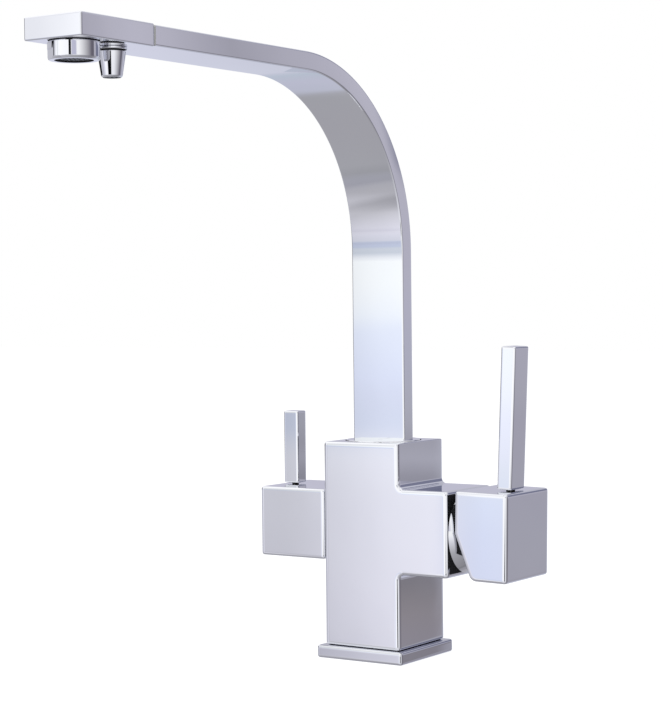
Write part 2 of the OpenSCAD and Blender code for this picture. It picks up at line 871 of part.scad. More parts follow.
slot_wall = 2.9;
slot_len = cart_bore_d - 2 * slot_wall;
slot_play = 0.2;
rotor_end = 0.8;
module cartridge_rotor() {
    neck_r = cart_bore_d / 2 - run_gap;
    neck_top = seal_t + cart_len + cart_neck_len + rotor_end;
    color(plastic)
        on_arm(chamber_depth)
            difference() {
                union() {
                    translate([0, 0, rotor_z]) cylinder(h = rotor_flange_t, d = rotor_flange_d);
                    translate([0, 0, rotor_z]) cylinder(h = neck_top - rotor_z, r = neck_r);
                    for (side = [-1, 1])
                        translate([
                            -tongue_w / 2, side * tongue_mid - tongue_t / 2,
                            rotor_z - tongue_drop
                        ])
                            cube([tongue_w, tongue_t, tongue_drop + over]);
                }
                translate([-slot_len / 2, -spindle_w / 2 - slot_play, rotor_z - over])
                    cube([slot_len, spindle_w + 2 * slot_play, neck_top]);
                translate([0, 0, pivot_up])
                    rotate([90, 0, 0])
                        cylinder(h = cart_d, r = pin_d / 2 + seat_gap, center = true);
            }
}

module pivot_pin() {
    color(steel)
        on_arm(pivot_depth)
            rotate([90, 0, 0])
                cylinder(h = cart_bore_d - 2 * stack_gap, d = pin_d, center = true);
}

spindle_shoulder = 3.5;
module cartridge_spindle() {
    color(steel)
        on_pivot()
            difference() {
                union() {
                    translate([-foot_arm, 0, 0]) sphere(d = foot_d);
                    rotate([0, 90, 0])
                        translate([0, 0, -foot_arm])
                            cylinder(h = foot_arm, d = foot_stem_d);
                    translate([-spindle_shoulder, -spindle_w / 2, -spindle_w / 2])
                        cube([spindle_len + spindle_shoulder, spindle_w, spindle_w]);
                }
                rotate([90, 0, 0])
                    cylinder(h = 2 * spindle_w, r = pin_d / 2 + run_gap, center = true);
            }
}

// Nut that holds the cartridge down; the dome screws on to its collar
nut_flange = 9.5;
nut_step = 2.4;
nut_collar_d = nut_d - 2 * nut_step;
nut_collar_len = 5.4;
module cartridge_nut() {
    nut_z = chamber_depth - seal_t - cart_len;
    color(brass)
        on_arm(nut_z - seat_gap)
            difference() {
                union() {
                    cylinder(h = nut_flange, d = nut_d);
                    cylinder(h = nut_flange + nut_collar_len, d = nut_collar_d);
                }
                translate([0, 0, -over])
                    cylinder(h = cart_len, r = cart_neck_d / 2 + 2 * seat_gap);
            }
}

dome_wall = 1.5;
dome_skirt = 3.4;
// Radius and centre of the sphere whose slice has the dome's two circles
dome_r1 = dome_d / 2;
dome_r2 = dome_hole_d / 2;
dome_c = (dome_h * dome_h + dome_r2 * dome_r2 - dome_r1 * dome_r1) / (2 * dome_h);
dome_r = sqrt(dome_c * dome_c + dome_r1 * dome_r1);
module dome_cover() {
    color(chrome)
        on_arm(0)
            rotate_extrude()
                intersection() {
                    difference() {
                        translate([0, dome_c]) circle(dome_r);
                        intersection() {
                            translate([0, dome_c]) circle(dome_r - dome_wall);
                            translate([0, dome_skirt]) square(dome_d);
                        }
                        translate([0, -over])
                            square([nut_collar_d / 2 + seat_gap, dome_skirt + over]);
                    }
                    translate([dome_r2, 0]) square([dome_d, dome_h]);
                }
}

// Head: its cavity is a ball round the pivot, so it clears the dome at every tilt
head_edge_r = 1.2;
head_corner_r = 5;
cavity_gap = 0.8;
cavity_floor = 21.5;
slant_top = 1.5;
lever_stud_d = 5;
lever_stud_len = 20;
head_screw_set = 30.5;
head_screw_d = 5;
head_screw_len = 10;
cavity_r = norm([pivot_depth, dome_d / 2]) + cavity_gap;
near_u = pivot_depth + head_gap;
mid_u = near_u + mixer_len / 2;
low_z = mixer_offset - mixer_h / 2;
high_z = mixer_offset + mixer_h / 2;
slant_u = near_u + (slant_top - low_z) * tan(slant);

// Front outline of the head: near edge, slant cut and its rounded lower corner
module head_outline() {
    cut_len = mixer_h + mixer_len;
    tangent = head_corner_r / tan(45 + slant / 2);
    foot = [slant_u, low_z];
    centre = [slant_u + tangent, low_z + head_corner_r];
    on_slant = foot + tangent * [-sin(slant), cos(slant)];
    difference() {
        translate([mid_u, mixer_offset]) rounded_rect(mixer_len, mixer_h, head_edge_r);
        translate([near_u, slant_top])
            rotate(slant)
                translate([-cut_len, -cut_len])
                    square(cut_len);
        difference() {
            polygon([centre, [centre[0], low_z], foot + (foot - centre) / 2, on_slant]);
            translate(centre) circle(head_corner_r);
        }
    }
}

module mixer_head() {
    color(chrome)
        on_pivot()
            difference() {
                intersection() {
                    rotate([90, 0, 0]) linear_extrude(mixer_d, center = true) head_outline();
                    translate([mid_u, 0, mixer_offset])
                        linear_extrude(mixer_h, center = true)
                            rounded_rect(mixer_len, mixer_d, head_edge_r);
                    translate([mid_u, 0, mixer_offset])
                        rotate([90, 0, 90])
                            linear_extrude(mixer_len, center = true)
                                rounded_rect(mixer_d, mixer_h, head_edge_r);
                }
                rotate([0, 90, 0])
                    rotate_extrude()
                        intersection() {
                            circle(cavity_r);
                            square([2 * cavity_r, cavity_floor]);
                        }
                translate([0, -spindle_w / 2 - seat_gap, -spindle_w / 2 - seat_gap])
                    cube([
                        spindle_len + 2 * seat_gap, spindle_w + 2 * seat_gap,
                        spindle_w + 2 * seat_gap
                    ]);
                translate([head_screw_set, 0, low_z - over])
                    cylinder(h = -low_z, r = head_screw_d / 2 + seat_gap);
                translate([lever_set, 0, high_z - lever_stud_len / 2])
                    cylinder(h = lever_stud_len, r = lever_stud_d / 2 + seat_gap);
            }
}

module on_lever() {
    on_pivot()
        translate([lever_set, 0, high_z + foot_gap])
            rotate([0, lever_lean, 0])
                children();
}

module mixer_lever() {
    color(chrome)
        on_lever()
            difference() {
                translate([0, 0, lever_len / 2])
                    soft_block(lever_t, lever_w, lever_len, edge_r);
                rotate([0, -lever_lean, 0])
                    translate([0, 0, -over])
                        cylinder(h = lever_stud_len / 2 + over, r = lever_stud_d / 2 + seat_gap);
            }
}

module lever_stud() {
    color(steel)
        on_pivot()
            translate([lever_set, 0, high_z - lever_stud_len / 2 + seat_gap])
                cylinder(h = lever_stud_len, d = lever_stud_d);
}

module head_grub_screw() {
    color(steel)
        on_pivot()
            translate([head_screw_set, 0, -spindle_w / 2])
                rotate([180, 0, 0])
                    grub_screw(head_screw_d, head_screw_len, lock_tip_d, lock_tip_len / 2);
}

// Filter valve: a quarter turn valve, lengths measured outwards from the column's side
valve_thread_gap = 0.05;
valve_seal_t = 1.5;
valve_flange_d = 22;
valve_flange_t = 4;
valve_neck_d = 15;
valve_neck_len = 13;
valve_inner_d = 14.4;
valve_inner_len = 9.5;
valve_step_d = 17;
valve_step_len = 7.5;
window_d = 2;
window_in = 10.2;
filter_disc_t = 2.2;
key_w = 2.4;
key_t = 0.9;
clip_t = 1;
clip_d = 12;
clip_out = 17.4;
clip_groove_d = 6.6;
filter_port_d = 3.4;
filter_port_set = 3.6;
spindle_ring_sect = 1.3;
spindle_ring_places = [3, 9];
filter_spindle_len = 33;
flat_set = 3.2;
flat_len = 12;

module filter_valve_body() {
    color(brass)
        on_filter(0)
            difference() {
                union() {
                    translate([0, 0, valve_seal_t - valve_depth])
                        cylinder(h = valve_depth - valve_seal_t, d = valve_step_d);
                    translate([0, 0, valve_step_len - valve_depth])
                        cylinder(
                            h = valve_depth - valve_step_len,
                            r = valve_bore_d / 2 - valve_thread_gap
                        );
                    cylinder(h = valve_flange_t, d = valve_flange_d, $fn = 6);
                    cylinder(h = valve_flange_t + valve_neck_len, d = valve_neck_d);
                }
                translate([0, 0, -valve_depth])
                    cylinder(h = valve_inner_len, d = valve_inner_d);
                translate([0, 0, -valve_depth])
                    cylinder(h = 3 * valve_depth, r = filter_spindle_d / 2 + run_gap);
                for (turn = [0, 90])
                    translate([0, 0, -window_in])
                        rotate([90, 0, turn])
                            cylinder(h = valve_bore_d, d = window_d, center = true);
            }
}

module filter_valve_seal() {
    color(rubber)
        on_filter(-valve_depth)
            washer(valve_inner_d / 2 - seat_gap, way_d / 2, valve_seal_t);
}

// Ceramic disc with two ports, half a turn apart; an open port runs out through the rim
module filter_disc(turn, open) {
    difference() {
        cylinder(h = filter_disc_t, r = valve_inner_d / 2 - run_gap);
        for (side = [0, 180])
            rotate([0, 0, turn + side])
                translate([filter_port_set, 0, -over]) {
                    cylinder(h = filter_disc_t + 2 * over, d = filter_port_d);
                    if (open)
                        translate([0, -filter_port_d / 2, 0])
                            cube([valve_inner_d, filter_port_d, filter_disc_t + 2 * over]);
                }
    }
}

module filter_fixed_disc() {
    color(ceramic) on_filter(valve_seal_t - valve_depth) filter_disc(0, false);
}

// The spindle's key lies in a slot across the back of the moving disc
module driver_key(w, t) {
    translate([-valve_inner_d / 2 + filter_port_d, -w / 2, 0])
        cube([valve_inner_d - 2 * filter_port_d, w, t]);
}

module filter_moving_disc() {
    color(ceramic)
        on_filter(valve_seal_t + filter_disc_t - valve_depth)
            difference() {
                filter_disc(90, true);
                translate([0, 0, filter_disc_t - key_t])
                    driver_key(key_w + 2 * seat_gap, key_t + over);
            }
}

module filter_spindle() {
    driver_z = valve_seal_t + 2 * filter_disc_t - valve_depth;
    color(brass)
        on_filter(0)
            difference() {
                union() {
                    translate([0, 0, driver_z])
                        cylinder(
                            h = valve_inner_len - valve_depth - driver_z - run_gap,
                            r = valve_inner_d / 2 - run_gap
                        );
                    translate([0, 0, driver_z - key_t + seat_gap])
                        driver_key(key_w, key_t);
                    translate([0, 0, driver_z])
                        cylinder(h = filter_spindle_len - driver_z, d = filter_spindle_d);
                }
                for (place = spindle_ring_places)
                    translate([0, 0, place])
                        groove(
                            filter_spindle_d / 2 - spindle_ring_sect + seat_gap,
                            filter_spindle_d, spindle_ring_sect + 2 * seat_gap
                        );
                translate([0, 0, clip_out + clip_t / 2])
                    groove(clip_groove_d / 2, filter_spindle_d, clip_t + 2 * seat_gap);
                translate([-filter_spindle_d, flat_set, filter_spindle_len - flat_len])
                    cube([2 * filter_spindle_d, filter_spindle_d, flat_len + over]);
            }
}

module spindle_seals() {
    color(rubber)
        on_filter(0)
            for (place = spindle_ring_places)
                translate([0, 0, place])
                    o_ring(
                        filter_spindle_d / 2 - spindle_ring_sect / 2 + seat_gap,
                        spindle_ring_sect - 2 * seat_gap
                    );
}

// Open clip that keeps the spindle in the valve
module spindle_clip() {
    color(steel)
        on_filter(clip_out)
            difference() {
                washer(clip_d / 2, clip_groove_d / 2 + seat_gap, clip_t);
                translate([0, -clip_groove_d / 2, -over])
                    cube([clip_d, clip_groove_d, clip_t + 2 * over]);
            }
}

// Handle: a hollow block over the valve, with a boss that grips the spindle
boss_d = 18;
boss_in = 19.5;
filter_screw_d = 4;
filter_screw_len = 5.5;
filter_stud_d = 4;
filter_stud_len = 14;
module filter_handle() {
    screw_out = filter_spindle_len - flat_len / 2;
    color(chrome)
        on_filter(0)
            difference() {
                translate([0, 0, handle_gap + handle_len / 2])
                    rotate([0, 0, 90])
                        soft_block(handle_d, handle_h, handle_len, head_edge_r);
                difference() {
                    translate([0, 0, handle_gap + (handle_len - handle_wall) / 2])
                        cube(
                            [
                                handle_h - 2 * handle_wall, handle_d - 2 * handle_wall,
                                handle_len - handle_wall
                            ],
                            center = true
                        );
                    translate([0, 0, handle_gap + boss_in]) cylinder(h = handle_len, d = boss_d);
                    translate([
                        filter_spindle_d, -boss_d / 2, handle_gap + handle_len - 2 * filter_lever_set
                    ])
                        cube([handle_h, boss_d, 2 * filter_lever_set]);
                }
                difference() {
                    cylinder(
                        h = filter_spindle_len + 2 * seat_gap, r = filter_spindle_d / 2 + seat_gap
                    );
                    translate([
                        -filter_spindle_d, flat_set + seat_gap, filter_spindle_len - flat_len
                    ])
                        cube([2 * filter_spindle_d, filter_spindle_d, 2 * flat_len]);
                }
                translate([0, 0, screw_out])
                    rotate([-90, 0, 0])
                        cylinder(h = handle_d, r = filter_screw_d / 2 + seat_gap);
                translate([
                    (handle_h - filter_stud_len) / 2, 0,
                    handle_gap + handle_len - filter_lever_set
                ])
                    rotate([0, 90, 0])
                        cylinder(h = filter_stud_len, r = filter_stud_d / 2 + seat_gap);
            }
}

module on_filter_lever() {
    translate([
        -body_w / 2 - handle_gap - handle_len + filter_lever_set, 0,
        filter_z + handle_h / 2 + foot_gap
    ])
        children();
}

module filter_lever() {
    color(chrome)
        on_filter_lever()
            difference() {
                translate([0, 0, filter_lever_len / 2])
                    soft_block(filter_lever_w, filter_lever_t, filter_lever_len, edge_r);
                translate([0, 0, -over])
                    cylinder(
                        h = filter_stud_len / 2 + over, r = filter_stud_d / 2 + seat_gap
                    );
            }
}

module filter_lever_stud() {
    color(steel)
        on_filter_lever()
            translate([0, 0, -foot_gap - filter_stud_len / 2 + seat_gap])
                cylinder(h = filter_stud_len, d = filter_stud_d);
}

module filter_grub_screw() {
    screw_out = filter_spindle_len - flat_len / 2;
    color(steel)
        on_filter(screw_out)
            translate([0, flat_set + seat_gap, 0])
                rotate([-90, 0, 0])
                    grub_screw(filter_screw_d, filter_screw_len, hex_socket_d, lock_tip_len / 2);
}

tap_body();
base_plate();
base_seal();
inlet_block();
inlet_seal();
glide_ring();
spout_collar();
spout_stem();
stem_seals();
spout_lock_screw();
spout_tube();
filter_tube();
spout_head();
spout_joint_seal();
aerator_housing();
aerator_insert();
aerator_seal();
nozzle_ring();
filter_nozzle();
nozzle_insert();
cartridge_housing();
cartridge_seals();
fixed_disc();
moving_disc();
disc_carriage();
cartridge_rotor();
pivot_pin();
cartridge_spindle();
cartridge_nut();
dome_cover();
mixer_head();
mixer_lever();
lever_stud();
head_grub_screw();
filter_valve_body();
filter_valve_seal();
filter_fixed_disc();
filter_moving_disc();
filter_spindle();
spindle_seals();
spindle_clip();
filter_handle();
filter_lever();
filter_lever_stud();
filter_grub_screw();
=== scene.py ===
import math
import bmesh
import bpy
from mathutils import Matrix, Vector


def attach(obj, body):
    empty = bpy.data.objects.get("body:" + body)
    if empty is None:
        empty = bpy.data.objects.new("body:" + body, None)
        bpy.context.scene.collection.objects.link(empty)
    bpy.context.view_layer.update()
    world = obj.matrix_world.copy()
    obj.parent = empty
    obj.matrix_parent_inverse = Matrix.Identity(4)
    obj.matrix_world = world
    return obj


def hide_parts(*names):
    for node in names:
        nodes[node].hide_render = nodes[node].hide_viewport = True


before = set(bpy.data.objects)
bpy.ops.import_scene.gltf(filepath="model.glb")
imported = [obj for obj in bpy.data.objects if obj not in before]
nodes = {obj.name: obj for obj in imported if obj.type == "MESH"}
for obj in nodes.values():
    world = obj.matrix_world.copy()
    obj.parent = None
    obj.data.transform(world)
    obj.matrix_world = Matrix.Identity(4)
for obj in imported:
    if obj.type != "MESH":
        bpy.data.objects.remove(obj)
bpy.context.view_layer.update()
scene = bpy.context.scene
scene.view_settings.view_transform = "Standard"

# Studio camera
# A long lens stands to the right of the tap at two thirds of its height and looks slightly
# down, so the upright edges stay nearly parallel. Its place was solved from straight edges.
focal_px = 2000
picture_px = (663, 714)
turn, pitch, roll = math.radians(33.824), math.radians(-1.607), math.radians(-0.609)
aim_side, aim_height, aim_distance = -29.429, 204.757, 1152.842
ahead = Vector((
    -math.sin(turn) * math.cos(pitch), math.cos(turn) * math.cos(pitch), math.sin(pitch),
))
across = Vector((math.cos(turn), math.sin(turn), 0))
upward = across.cross(ahead)
level_across = across * math.cos(roll) + upward * math.sin(roll)
level_upward = upward * math.cos(roll) - across * math.sin(roll)
stand = Vector((0, 0, aim_height)) + across * aim_side
stand -= Vector((-math.sin(turn), math.cos(turn), 0)) * aim_distance
camera_data = bpy.data.cameras.new("camera")
camera_data.sensor_width = 36
camera_data.lens = focal_px / max(picture_px) * camera_data.sensor_width
camera_data.clip_start = 0.05
camera = bpy.data.objects.new("camera", camera_data)
camera.matrix_world = Matrix.Translation(stand / 1000) @ Matrix((
    (level_across.x, level_upward.x, -ahead.x),
    (level_across.y, level_upward.y, -ahead.y),
    (level_across.z, level_upward.z, -ahead.z),
)).to_4x4()
scene.collection.objects.link(camera)
scene.camera = camera


# Studio room
# Polished chrome shows the room more than itself. Round the tap stand a bright sheet in front
# and on the right, grey walls behind it, a pale floor and ceiling, and a few dark flags that
# draw lines in the rounded edges and the turned pieces.
def linear(colour):
    parts = [int(colour[i:i + 2], 16) / 255 for i in (1, 3, 5)]
    return tuple(c / 12.92 if c <= 0.04045 else ((c + 0.055) / 1.055) ** 2.4 for c in parts) + (1,)


def add(tree, kind, inputs=None, **settings):
    node = tree.nodes.new(kind)
    for name, value in settings.items():
        setattr(node, name, value)
    for socket, value in (inputs or {}).items():
        if isinstance(value, bpy.types.NodeSocket):
            tree.links.new(value, node.inputs[socket])
        else:
            node.inputs[socket].default_value = value
    return node


def set_stops(ramp, stops):
    """Fills a colour ramp with (place, colour) or (place, colour, cover)."""
    while len(ramp.color_ramp.elements) > 1:
        ramp.color_ramp.elements.remove(ramp.color_ramp.elements[-1])
    for i, (place, colour, *cover) in enumerate(stops):
        spot = ramp.color_ramp.elements[0] if i == 0 else ramp.color_ramp.elements.new(place)
        spot.position = place
        spot.color = linear(colour)[:3] + (cover[0] if cover else 1,)


# Each part of the room has its reach round the tap, as (bearing, cover), and its tones from
# straight down (-1) to straight up (1). Bearing 0.5 is in front, 0.75 on the right, 0 and 1
# behind and 0.25 on the left.
room_parts = {
    "back_left_wall": ([(0, 1)], [
        (-1, "#9f9ea2"), (-0.76, "#a4a3a9"), (-0.7, "#a8a8b0"), (-0.66, "#b7b9c6"),
        (-0.49, "#b9bac9"), (-0.3, "#b8c0cd"), (-0.13, "#c8c9d8"), (-0.09, "#c9cdda"),
        (0.05, "#bebdcc"), (0.1, "#bdbccc"), (0.17, "#bebec8"), (0.55, "#bcbcc8"), (0.8, "#ffffff"),
    ]),
    "left_wall": ([(0.13, 0), (0.15, 1), (0.372, 1), (0.388, 0)], [
        (-1, "#9f9ea2"), (-0.83, "#9e9da2"), (-0.67, "#a0a0a4"), (-0.35, "#b4b4ba"),
        (-0.15, "#bcbcc4"), (-0.03, "#b4b4bc"), (0.2, "#bcbcc2"), (0.4, "#e8e8ee"),
        (0.6, "#ffffff"),
    ]),
    "aerator_left_flag": ([(0.3, 0), (0.308, 1), (0.345, 1), (0.353, 0)], [
        (0.07, "#0c0c0f", 0), (0.09, "#0c0c0f"), (0.3, "#0c0c0f"), (0.4, "#0c0c0f", 0),
    ]),
    "nozzle_left_flag": ([(0.13, 0), (0.15, 1), (0.28, 1), (0.295, 0)], [
        (-0.09, "#060608", 0), (-0.07, "#060608"), (0.09, "#060608"), (0.105, "#060608", 0),
    ]),
    "front_sheet": ([(0.372, 0), (0.388, 1), (0.4142, 1), (0.4158, 0)], [
        (-1, "#a09fa3"), (-0.83, "#a3a2a7"), (-0.67, "#a6a5aa"), (-0.52, "#adacb1"),
        (-0.42, "#c6c5cb"),
        (-0.34, "#e0dfe5"), (-0.2, "#e2e1ea"), (-0.172, "#d8d7e2"), (-0.167, "#dddce5"),
        (-0.158, "#e0dfe9"), (-0.145, "#e5e4ed"), (-0.09, "#eaeaf2"), (-0.074, "#eeeff7"),
        (-0.064, "#d9e0f1"), (-0.05, "#dadff0"), (-0.04, "#e1e7f9"), (-0.027, "#e7edfc"),
        (-0.0125, "#eaf0fd"), (-0.0112, "#f4f9ff"), (0.005, "#fcffff"), (1, "#ffffff"),
    ]),
    "low_sheet": ([(0.4105, 0), (0.4125, 1), (0.4142, 1), (0.4158, 0)], [
        (-0.8, "#f0f0f5", 0), (-0.7, "#f0f0f5"), (-0.165, "#f0f0f5"), (-0.15, "#f0f0f5", 0),
    ]),
    "mixer_sheet": ([(0.4142, 0), (0.4158, 1), (0.4205, 1), (0.43, 0)], [
        (-1, "#a09fa3"), (-0.6, "#b4b4bc"), (-0.3, "#c8ccd8"), (-0.17, "#d0d6ea"),
        (-0.12, "#d8def1"), (-0.1, "#dce3f4"), (-0.09, "#e0e6f0"), (-0.077, "#e8ebf8"),
        (-0.063, "#edf0fd"), (-0.05, "#f2f6fd"), (-0.03, "#f8fdfd"), (0, "#ffffff"),
    ]),
    "bright_sheet": ([(0.4205, 0), (0.43, 1), (0.876, 1), (0.884, 0)], [
        (-1, "#a09fa3"), (-0.7, "#b0b0b4"), (-0.4, "#d8d8de"), (-0.2, "#f4f4f8"),
        (-0.1, "#ffffff"),
    ]),
    "aerator_front_flag": ([(0.547, 0), (0.552, 1), (0.576, 1), (0.581, 0)], [
        (0.02, "#060608", 0), (0.05, "#060608"), (0.35, "#060608"), (0.5, "#060608", 0),
    ]),
    "grey_panel": ([(0.581, 0), (0.588, 1), (0.635, 1), (0.65, 0)], [
        (0.02, "#c2c2d4", 0), (0.05, "#c2c2d4"), (0.35, "#c2c2d4"), (0.5, "#c2c2d4", 0),
    ]),
    "nozzle_front_flag": ([(0.5, 0), (0.51, 1), (0.592, 1), (0.602, 0)], [
        (-0.3, "#060608", 0), (-0.24, "#060608"), (-0.15, "#060608"), (-0.11, "#060608", 0),
    ]),
    "right_wall": ([(0.67, 0), (0.84, 1), (0.876, 1), (0.884, 0)], [
        (-1, "#9f9ea2"), (-0.3, "#7c7a84"), (-0.1, "#706c78"), (0, "#706c78"), (0.15, "#706c78"),
        (0.4, "#c0c0c6"), (0.7, "#ffffff"),
    ]),
    "back_right_wall": ([(0.876, 0), (0.884, 1), (0.9145, 1), (0.9175, 0)], [
        (-1, "#86858a"), (-0.3, "#86848a"), (-0.18, "#86838a"), (-0.17, "#89858d"),
        (-0.153, "#878286"), (-0.142, "#78757b"), (-0.13, "#85838a"), (-0.1, "#8c8b95"),
        (-0.086, "#908f99"), (-0.0815, "#a2a1ab"), (-0.076, "#a5a4af"), (-0.0715, "#9a99a3"),
        (-0.06, "#a6a6b0"), (-0.03, "#aaaab8"), (0, "#adacba"), (0.02, "#aeacb9"),
        (0.08, "#b2b0bb"), (0.115, "#b6b4c0"), (0.14, "#b6b4c0"), (0.3, "#b6b6c2"),
        (0.55, "#bcbcc8"), (0.8, "#ffffff"),
    ]),
    "small_lever_wall": ([(0.9024, 0), (0.9029, 1), (0.9042, 1), (0.9047, 0)], [
        (-0.1, "#a4a2b0", 0), (-0.095, "#a4a2b0"), (-0.085, "#aeacb8"), (-0.06, "#b2b0bc"),
        (-0.055, "#b2b0bc", 0),
    ]),
    "mixer_wall": ([(0.9145, 0), (0.9175, 1), (0.94, 1), (0.97, 0)], [
        (-1, "#8e8d92"), (-0.2, "#9a98a2"), (-0.137, "#9f9ea8"), (-0.1, "#9e9ca8"),
        (-0.09, "#a1a0aa"), (-0.05, "#a5a3b0"), (-0.025, "#a9a7b3"), (0.05, "#b0aeb8"),
        (0.3, "#b6b6c2"), (0.55, "#bcbcc8"), (0.8, "#ffffff"),
    ]),
    "back_flag": ([(0.9102, 0), (0.911, 1), (0.966, 1), (0.976, 0)], [
        (0.06, "#5e6076", 0), (0.068, "#64667c"), (0.12, "#74768a"), (0.4, "#74768a"),
        (0.485, "#74768a"), (0.505, "#74768a", 0),
    ]),
    "tip_sheet": ([(0.36, 0), (0.375, 1), (0.3945, 1), (0.397, 0)], [
        (0.03, "#ffffff", 0), (0.06, "#fcfdff"), (0.3, "#fcfdff"), (0.4, "#ffffff", 0),
    ]),
}
room = bpy.data.worlds.new("studio_room")
scene.world = room
room.use_nodes = True
tree = room.node_tree
tree.nodes.clear()
direction = add(tree, "ShaderNodeTexCoord").outputs["Generated"]
xyz = add(tree, "ShaderNodeSeparateXYZ", {0: direction})
to_front = add(tree, "ShaderNodeMath", {0: xyz.outputs["Y"], 1: -1.0}, operation="MULTIPLY")
bearing = add(tree, "ShaderNodeMath", {
    0: xyz.outputs["X"], 1: to_front.outputs[0],
}, operation="ARCTAN2")
around = add(tree, "ShaderNodeMapRange", {
    "Value": bearing.outputs[0], "From Min": -math.pi, "From Max": math.pi,
}).outputs[0]
height = add(tree, "ShaderNodeMapRange", {
    "Value": xyz.outputs["Z"], "From Min": -1.0, "From Max": 1.0,
}).outputs[0]
rooms = (0, 0, 0, 1)
for reach, tones in room_parts.values():
    covers = add(tree, "ShaderNodeValToRGB", {0: around})
    set_stops(covers, [(place, "#ffffff", cover) for place, cover in reach])
    shades = add(tree, "ShaderNodeValToRGB", {0: height})
    set_stops(shades, [((level + 1) / 2, *rest) for level, *rest in tones])
    share = add(tree, "ShaderNodeMath", {
        0: covers.outputs[1], 1: shades.outputs[1],
    }, operation="MULTIPLY")
    rooms = add(tree, "ShaderNodeMixRGB", {
        0: share.outputs[0], 1: rooms, 2: shades.outputs[0],
    }).outputs[0]
# The front sheet is lit from the right, and the wall that the level spout shows has slow folds
folds = add(tree, "ShaderNodeValToRGB", {0: around})
set_stops(folds, [
    (0, "#f0f0f0"), (0.0967, "#f0f0f0"), (0.104, "#f7f7f7"), (0.112, "#fdfdfd"),
    (0.36, "#ffffff"), (0.383, "#e8e8ea"), (0.3865, "#fbfbfb"), (0.3895, "#ffffff"),
    (0.3945, "#ffffff"), (0.4003, "#c1c1c1"), (0.403, "#dbdbdb"), (0.4047, "#dedede"),
    (0.4071, "#eeeeee"), (0.41, "#f8f8f8"), (0.4131, "#ffffff"), (0.884, "#e0e0e0"),
    (0.8876, "#ebebeb"), (0.889, "#fdfdfd"), (0.8918, "#ffffff"), (0.8928, "#fafafa"),
    (0.8942, "#f5f5f5"), (0.8961, "#e0e0e0"), (0.898, "#dcdcdc"), (0.8998, "#e4e4e4"),
    (0.9016, "#eaeaea"), (0.9034, "#eeeeee"), (0.9047, "#f1f1f1"), (0.907, "#f8f8f8"),
    (0.91, "#ffffff"),
])
rooms = add(tree, "ShaderNodeMixRGB", {
    0: 1.0, 1: rooms, 2: folds.outputs[0],
}, blend_type="MULTIPLY").outputs[0]
# The plate gives back about four fifths of what it mirrors, so its reflections show the room
# a quarter brighter. What lights the tap is plain white and dim.
seen_room = add(tree, "ShaderNodeBackground", {"Color": rooms, "Strength": 1.25})
white_room = add(tree, "ShaderNodeBackground", {"Color": linear("#ffffff"), "Strength": 1.0})
light_room = add(tree, "ShaderNodeBackground", {"Color": linear("#ffffff"), "Strength": 0.3})
path = add(tree, "ShaderNodeLightPath")
clear_rays = add(tree, "ShaderNodeMath", {
    0: path.outputs["Is Camera Ray"], 1: path.outputs["Is Transmission Ray"],
}, operation="MAXIMUM")
lit = add(tree, "ShaderNodeMixShader", {
    0: path.outputs["Is Glossy Ray"], 1: light_room.outputs[0], 2: seen_room.outputs[0],
})
shown = add(tree, "ShaderNodeMixShader", {
    0: clear_rays.outputs[0], 1: lit.outputs[0], 2: white_room.outputs[0],
})
add(tree, "ShaderNodeOutputWorld", {"Surface": shown.outputs[0]})

# Studio floor and lamps
# A pale painted floor keeps the tap's soft shadow. Two large soft lamps light it evenly.
floor_paint = bpy.data.materials.new("floor_paint")
floor_paint.use_nodes = True
tree = floor_paint.node_tree
tree.nodes.clear()
path = add(tree, "ShaderNodeLightPath")
matt = add(tree, "ShaderNodeBsdfDiffuse", {"Color": linear("#d2d2d4")})
glow = add(tree, "ShaderNodeEmission", {"Color": linear("#ffffff"), "Strength": 0.86})
clear_rays = add(tree, "ShaderNodeMath", {
    0: path.outputs["Is Camera Ray"], 1: path.outputs["Is Glossy Ray"],
}, operation="MAXIMUM")
clear_rays = add(tree, "ShaderNodeMath", {
    0: clear_rays.outputs[0], 1: path.outputs["Is Transmission Ray"],
}, operation="MAXIMUM")
none = add(tree, "ShaderNodeEmission", {"Color": (0, 0, 0, 1), "Strength": 0.0})
glow_seen = add(tree, "ShaderNodeMixShader", {
    0: clear_rays.outputs[0], 1: none.outputs[0], 2: glow.outputs[0],
})
both = add(tree, "ShaderNodeAddShader", {0: matt.outputs[0], 1: glow_seen.outputs[0]})
add(tree, "ShaderNodeOutputMaterial", {"Surface": both.outputs[0]})
floor_half, floor_z = 6, -0.0002
floor_mesh = bpy.data.meshes.new("floor")
floor_mesh.from_pydata([
    (-floor_half, -floor_half, floor_z), (floor_half, -floor_half, floor_z),
    (floor_half, floor_half, floor_z), (-floor_half, floor_half, floor_z),
], [], [(0, 1, 2, 3)])
floor_mesh.materials.append(floor_paint)
floor = bpy.data.objects.new("floor", floor_mesh)
floor.visible_glossy = False
scene.collection.objects.link(floor)
tap_middle = Vector((0, 0, 0.15))
for name, place, size, power in (
    ("lamp_front", Vector((-1.3, -1.6, 2.0)), 1.4, 14),
    ("lamp_right", Vector((1.6, -0.6, 1.9)), 1.6, 9),
):
    lamp_data = bpy.data.lights.new(name, "AREA")
    lamp_data.size = size
    lamp_data.energy = power
    lamp = bpy.data.objects.new(name, lamp_data)
    towards_tap = (place - tap_middle).to_track_quat("Z", "Y").to_matrix().to_4x4()
    lamp.matrix_world = Matrix.Translation(place) @ towards_tap
    lamp.visible_glossy = False
    scene.collection.objects.link(lamp)


# Column and arm
# One brass casting, drilled for its waterways, polished and plated with chrome. It stands on
# the square plate, and the mixer's arm grows out of its right side with small inside corners.
def start_finish(name):
    """New material, its node tree, its surface and the place on the piece."""
    made = bpy.data.materials.new(name)
    made.use_nodes = True
    tree = made.node_tree
    place = add(tree, "ShaderNodeTexCoord").outputs["Object"]
    return made, tree, tree.nodes["Principled BSDF"], place


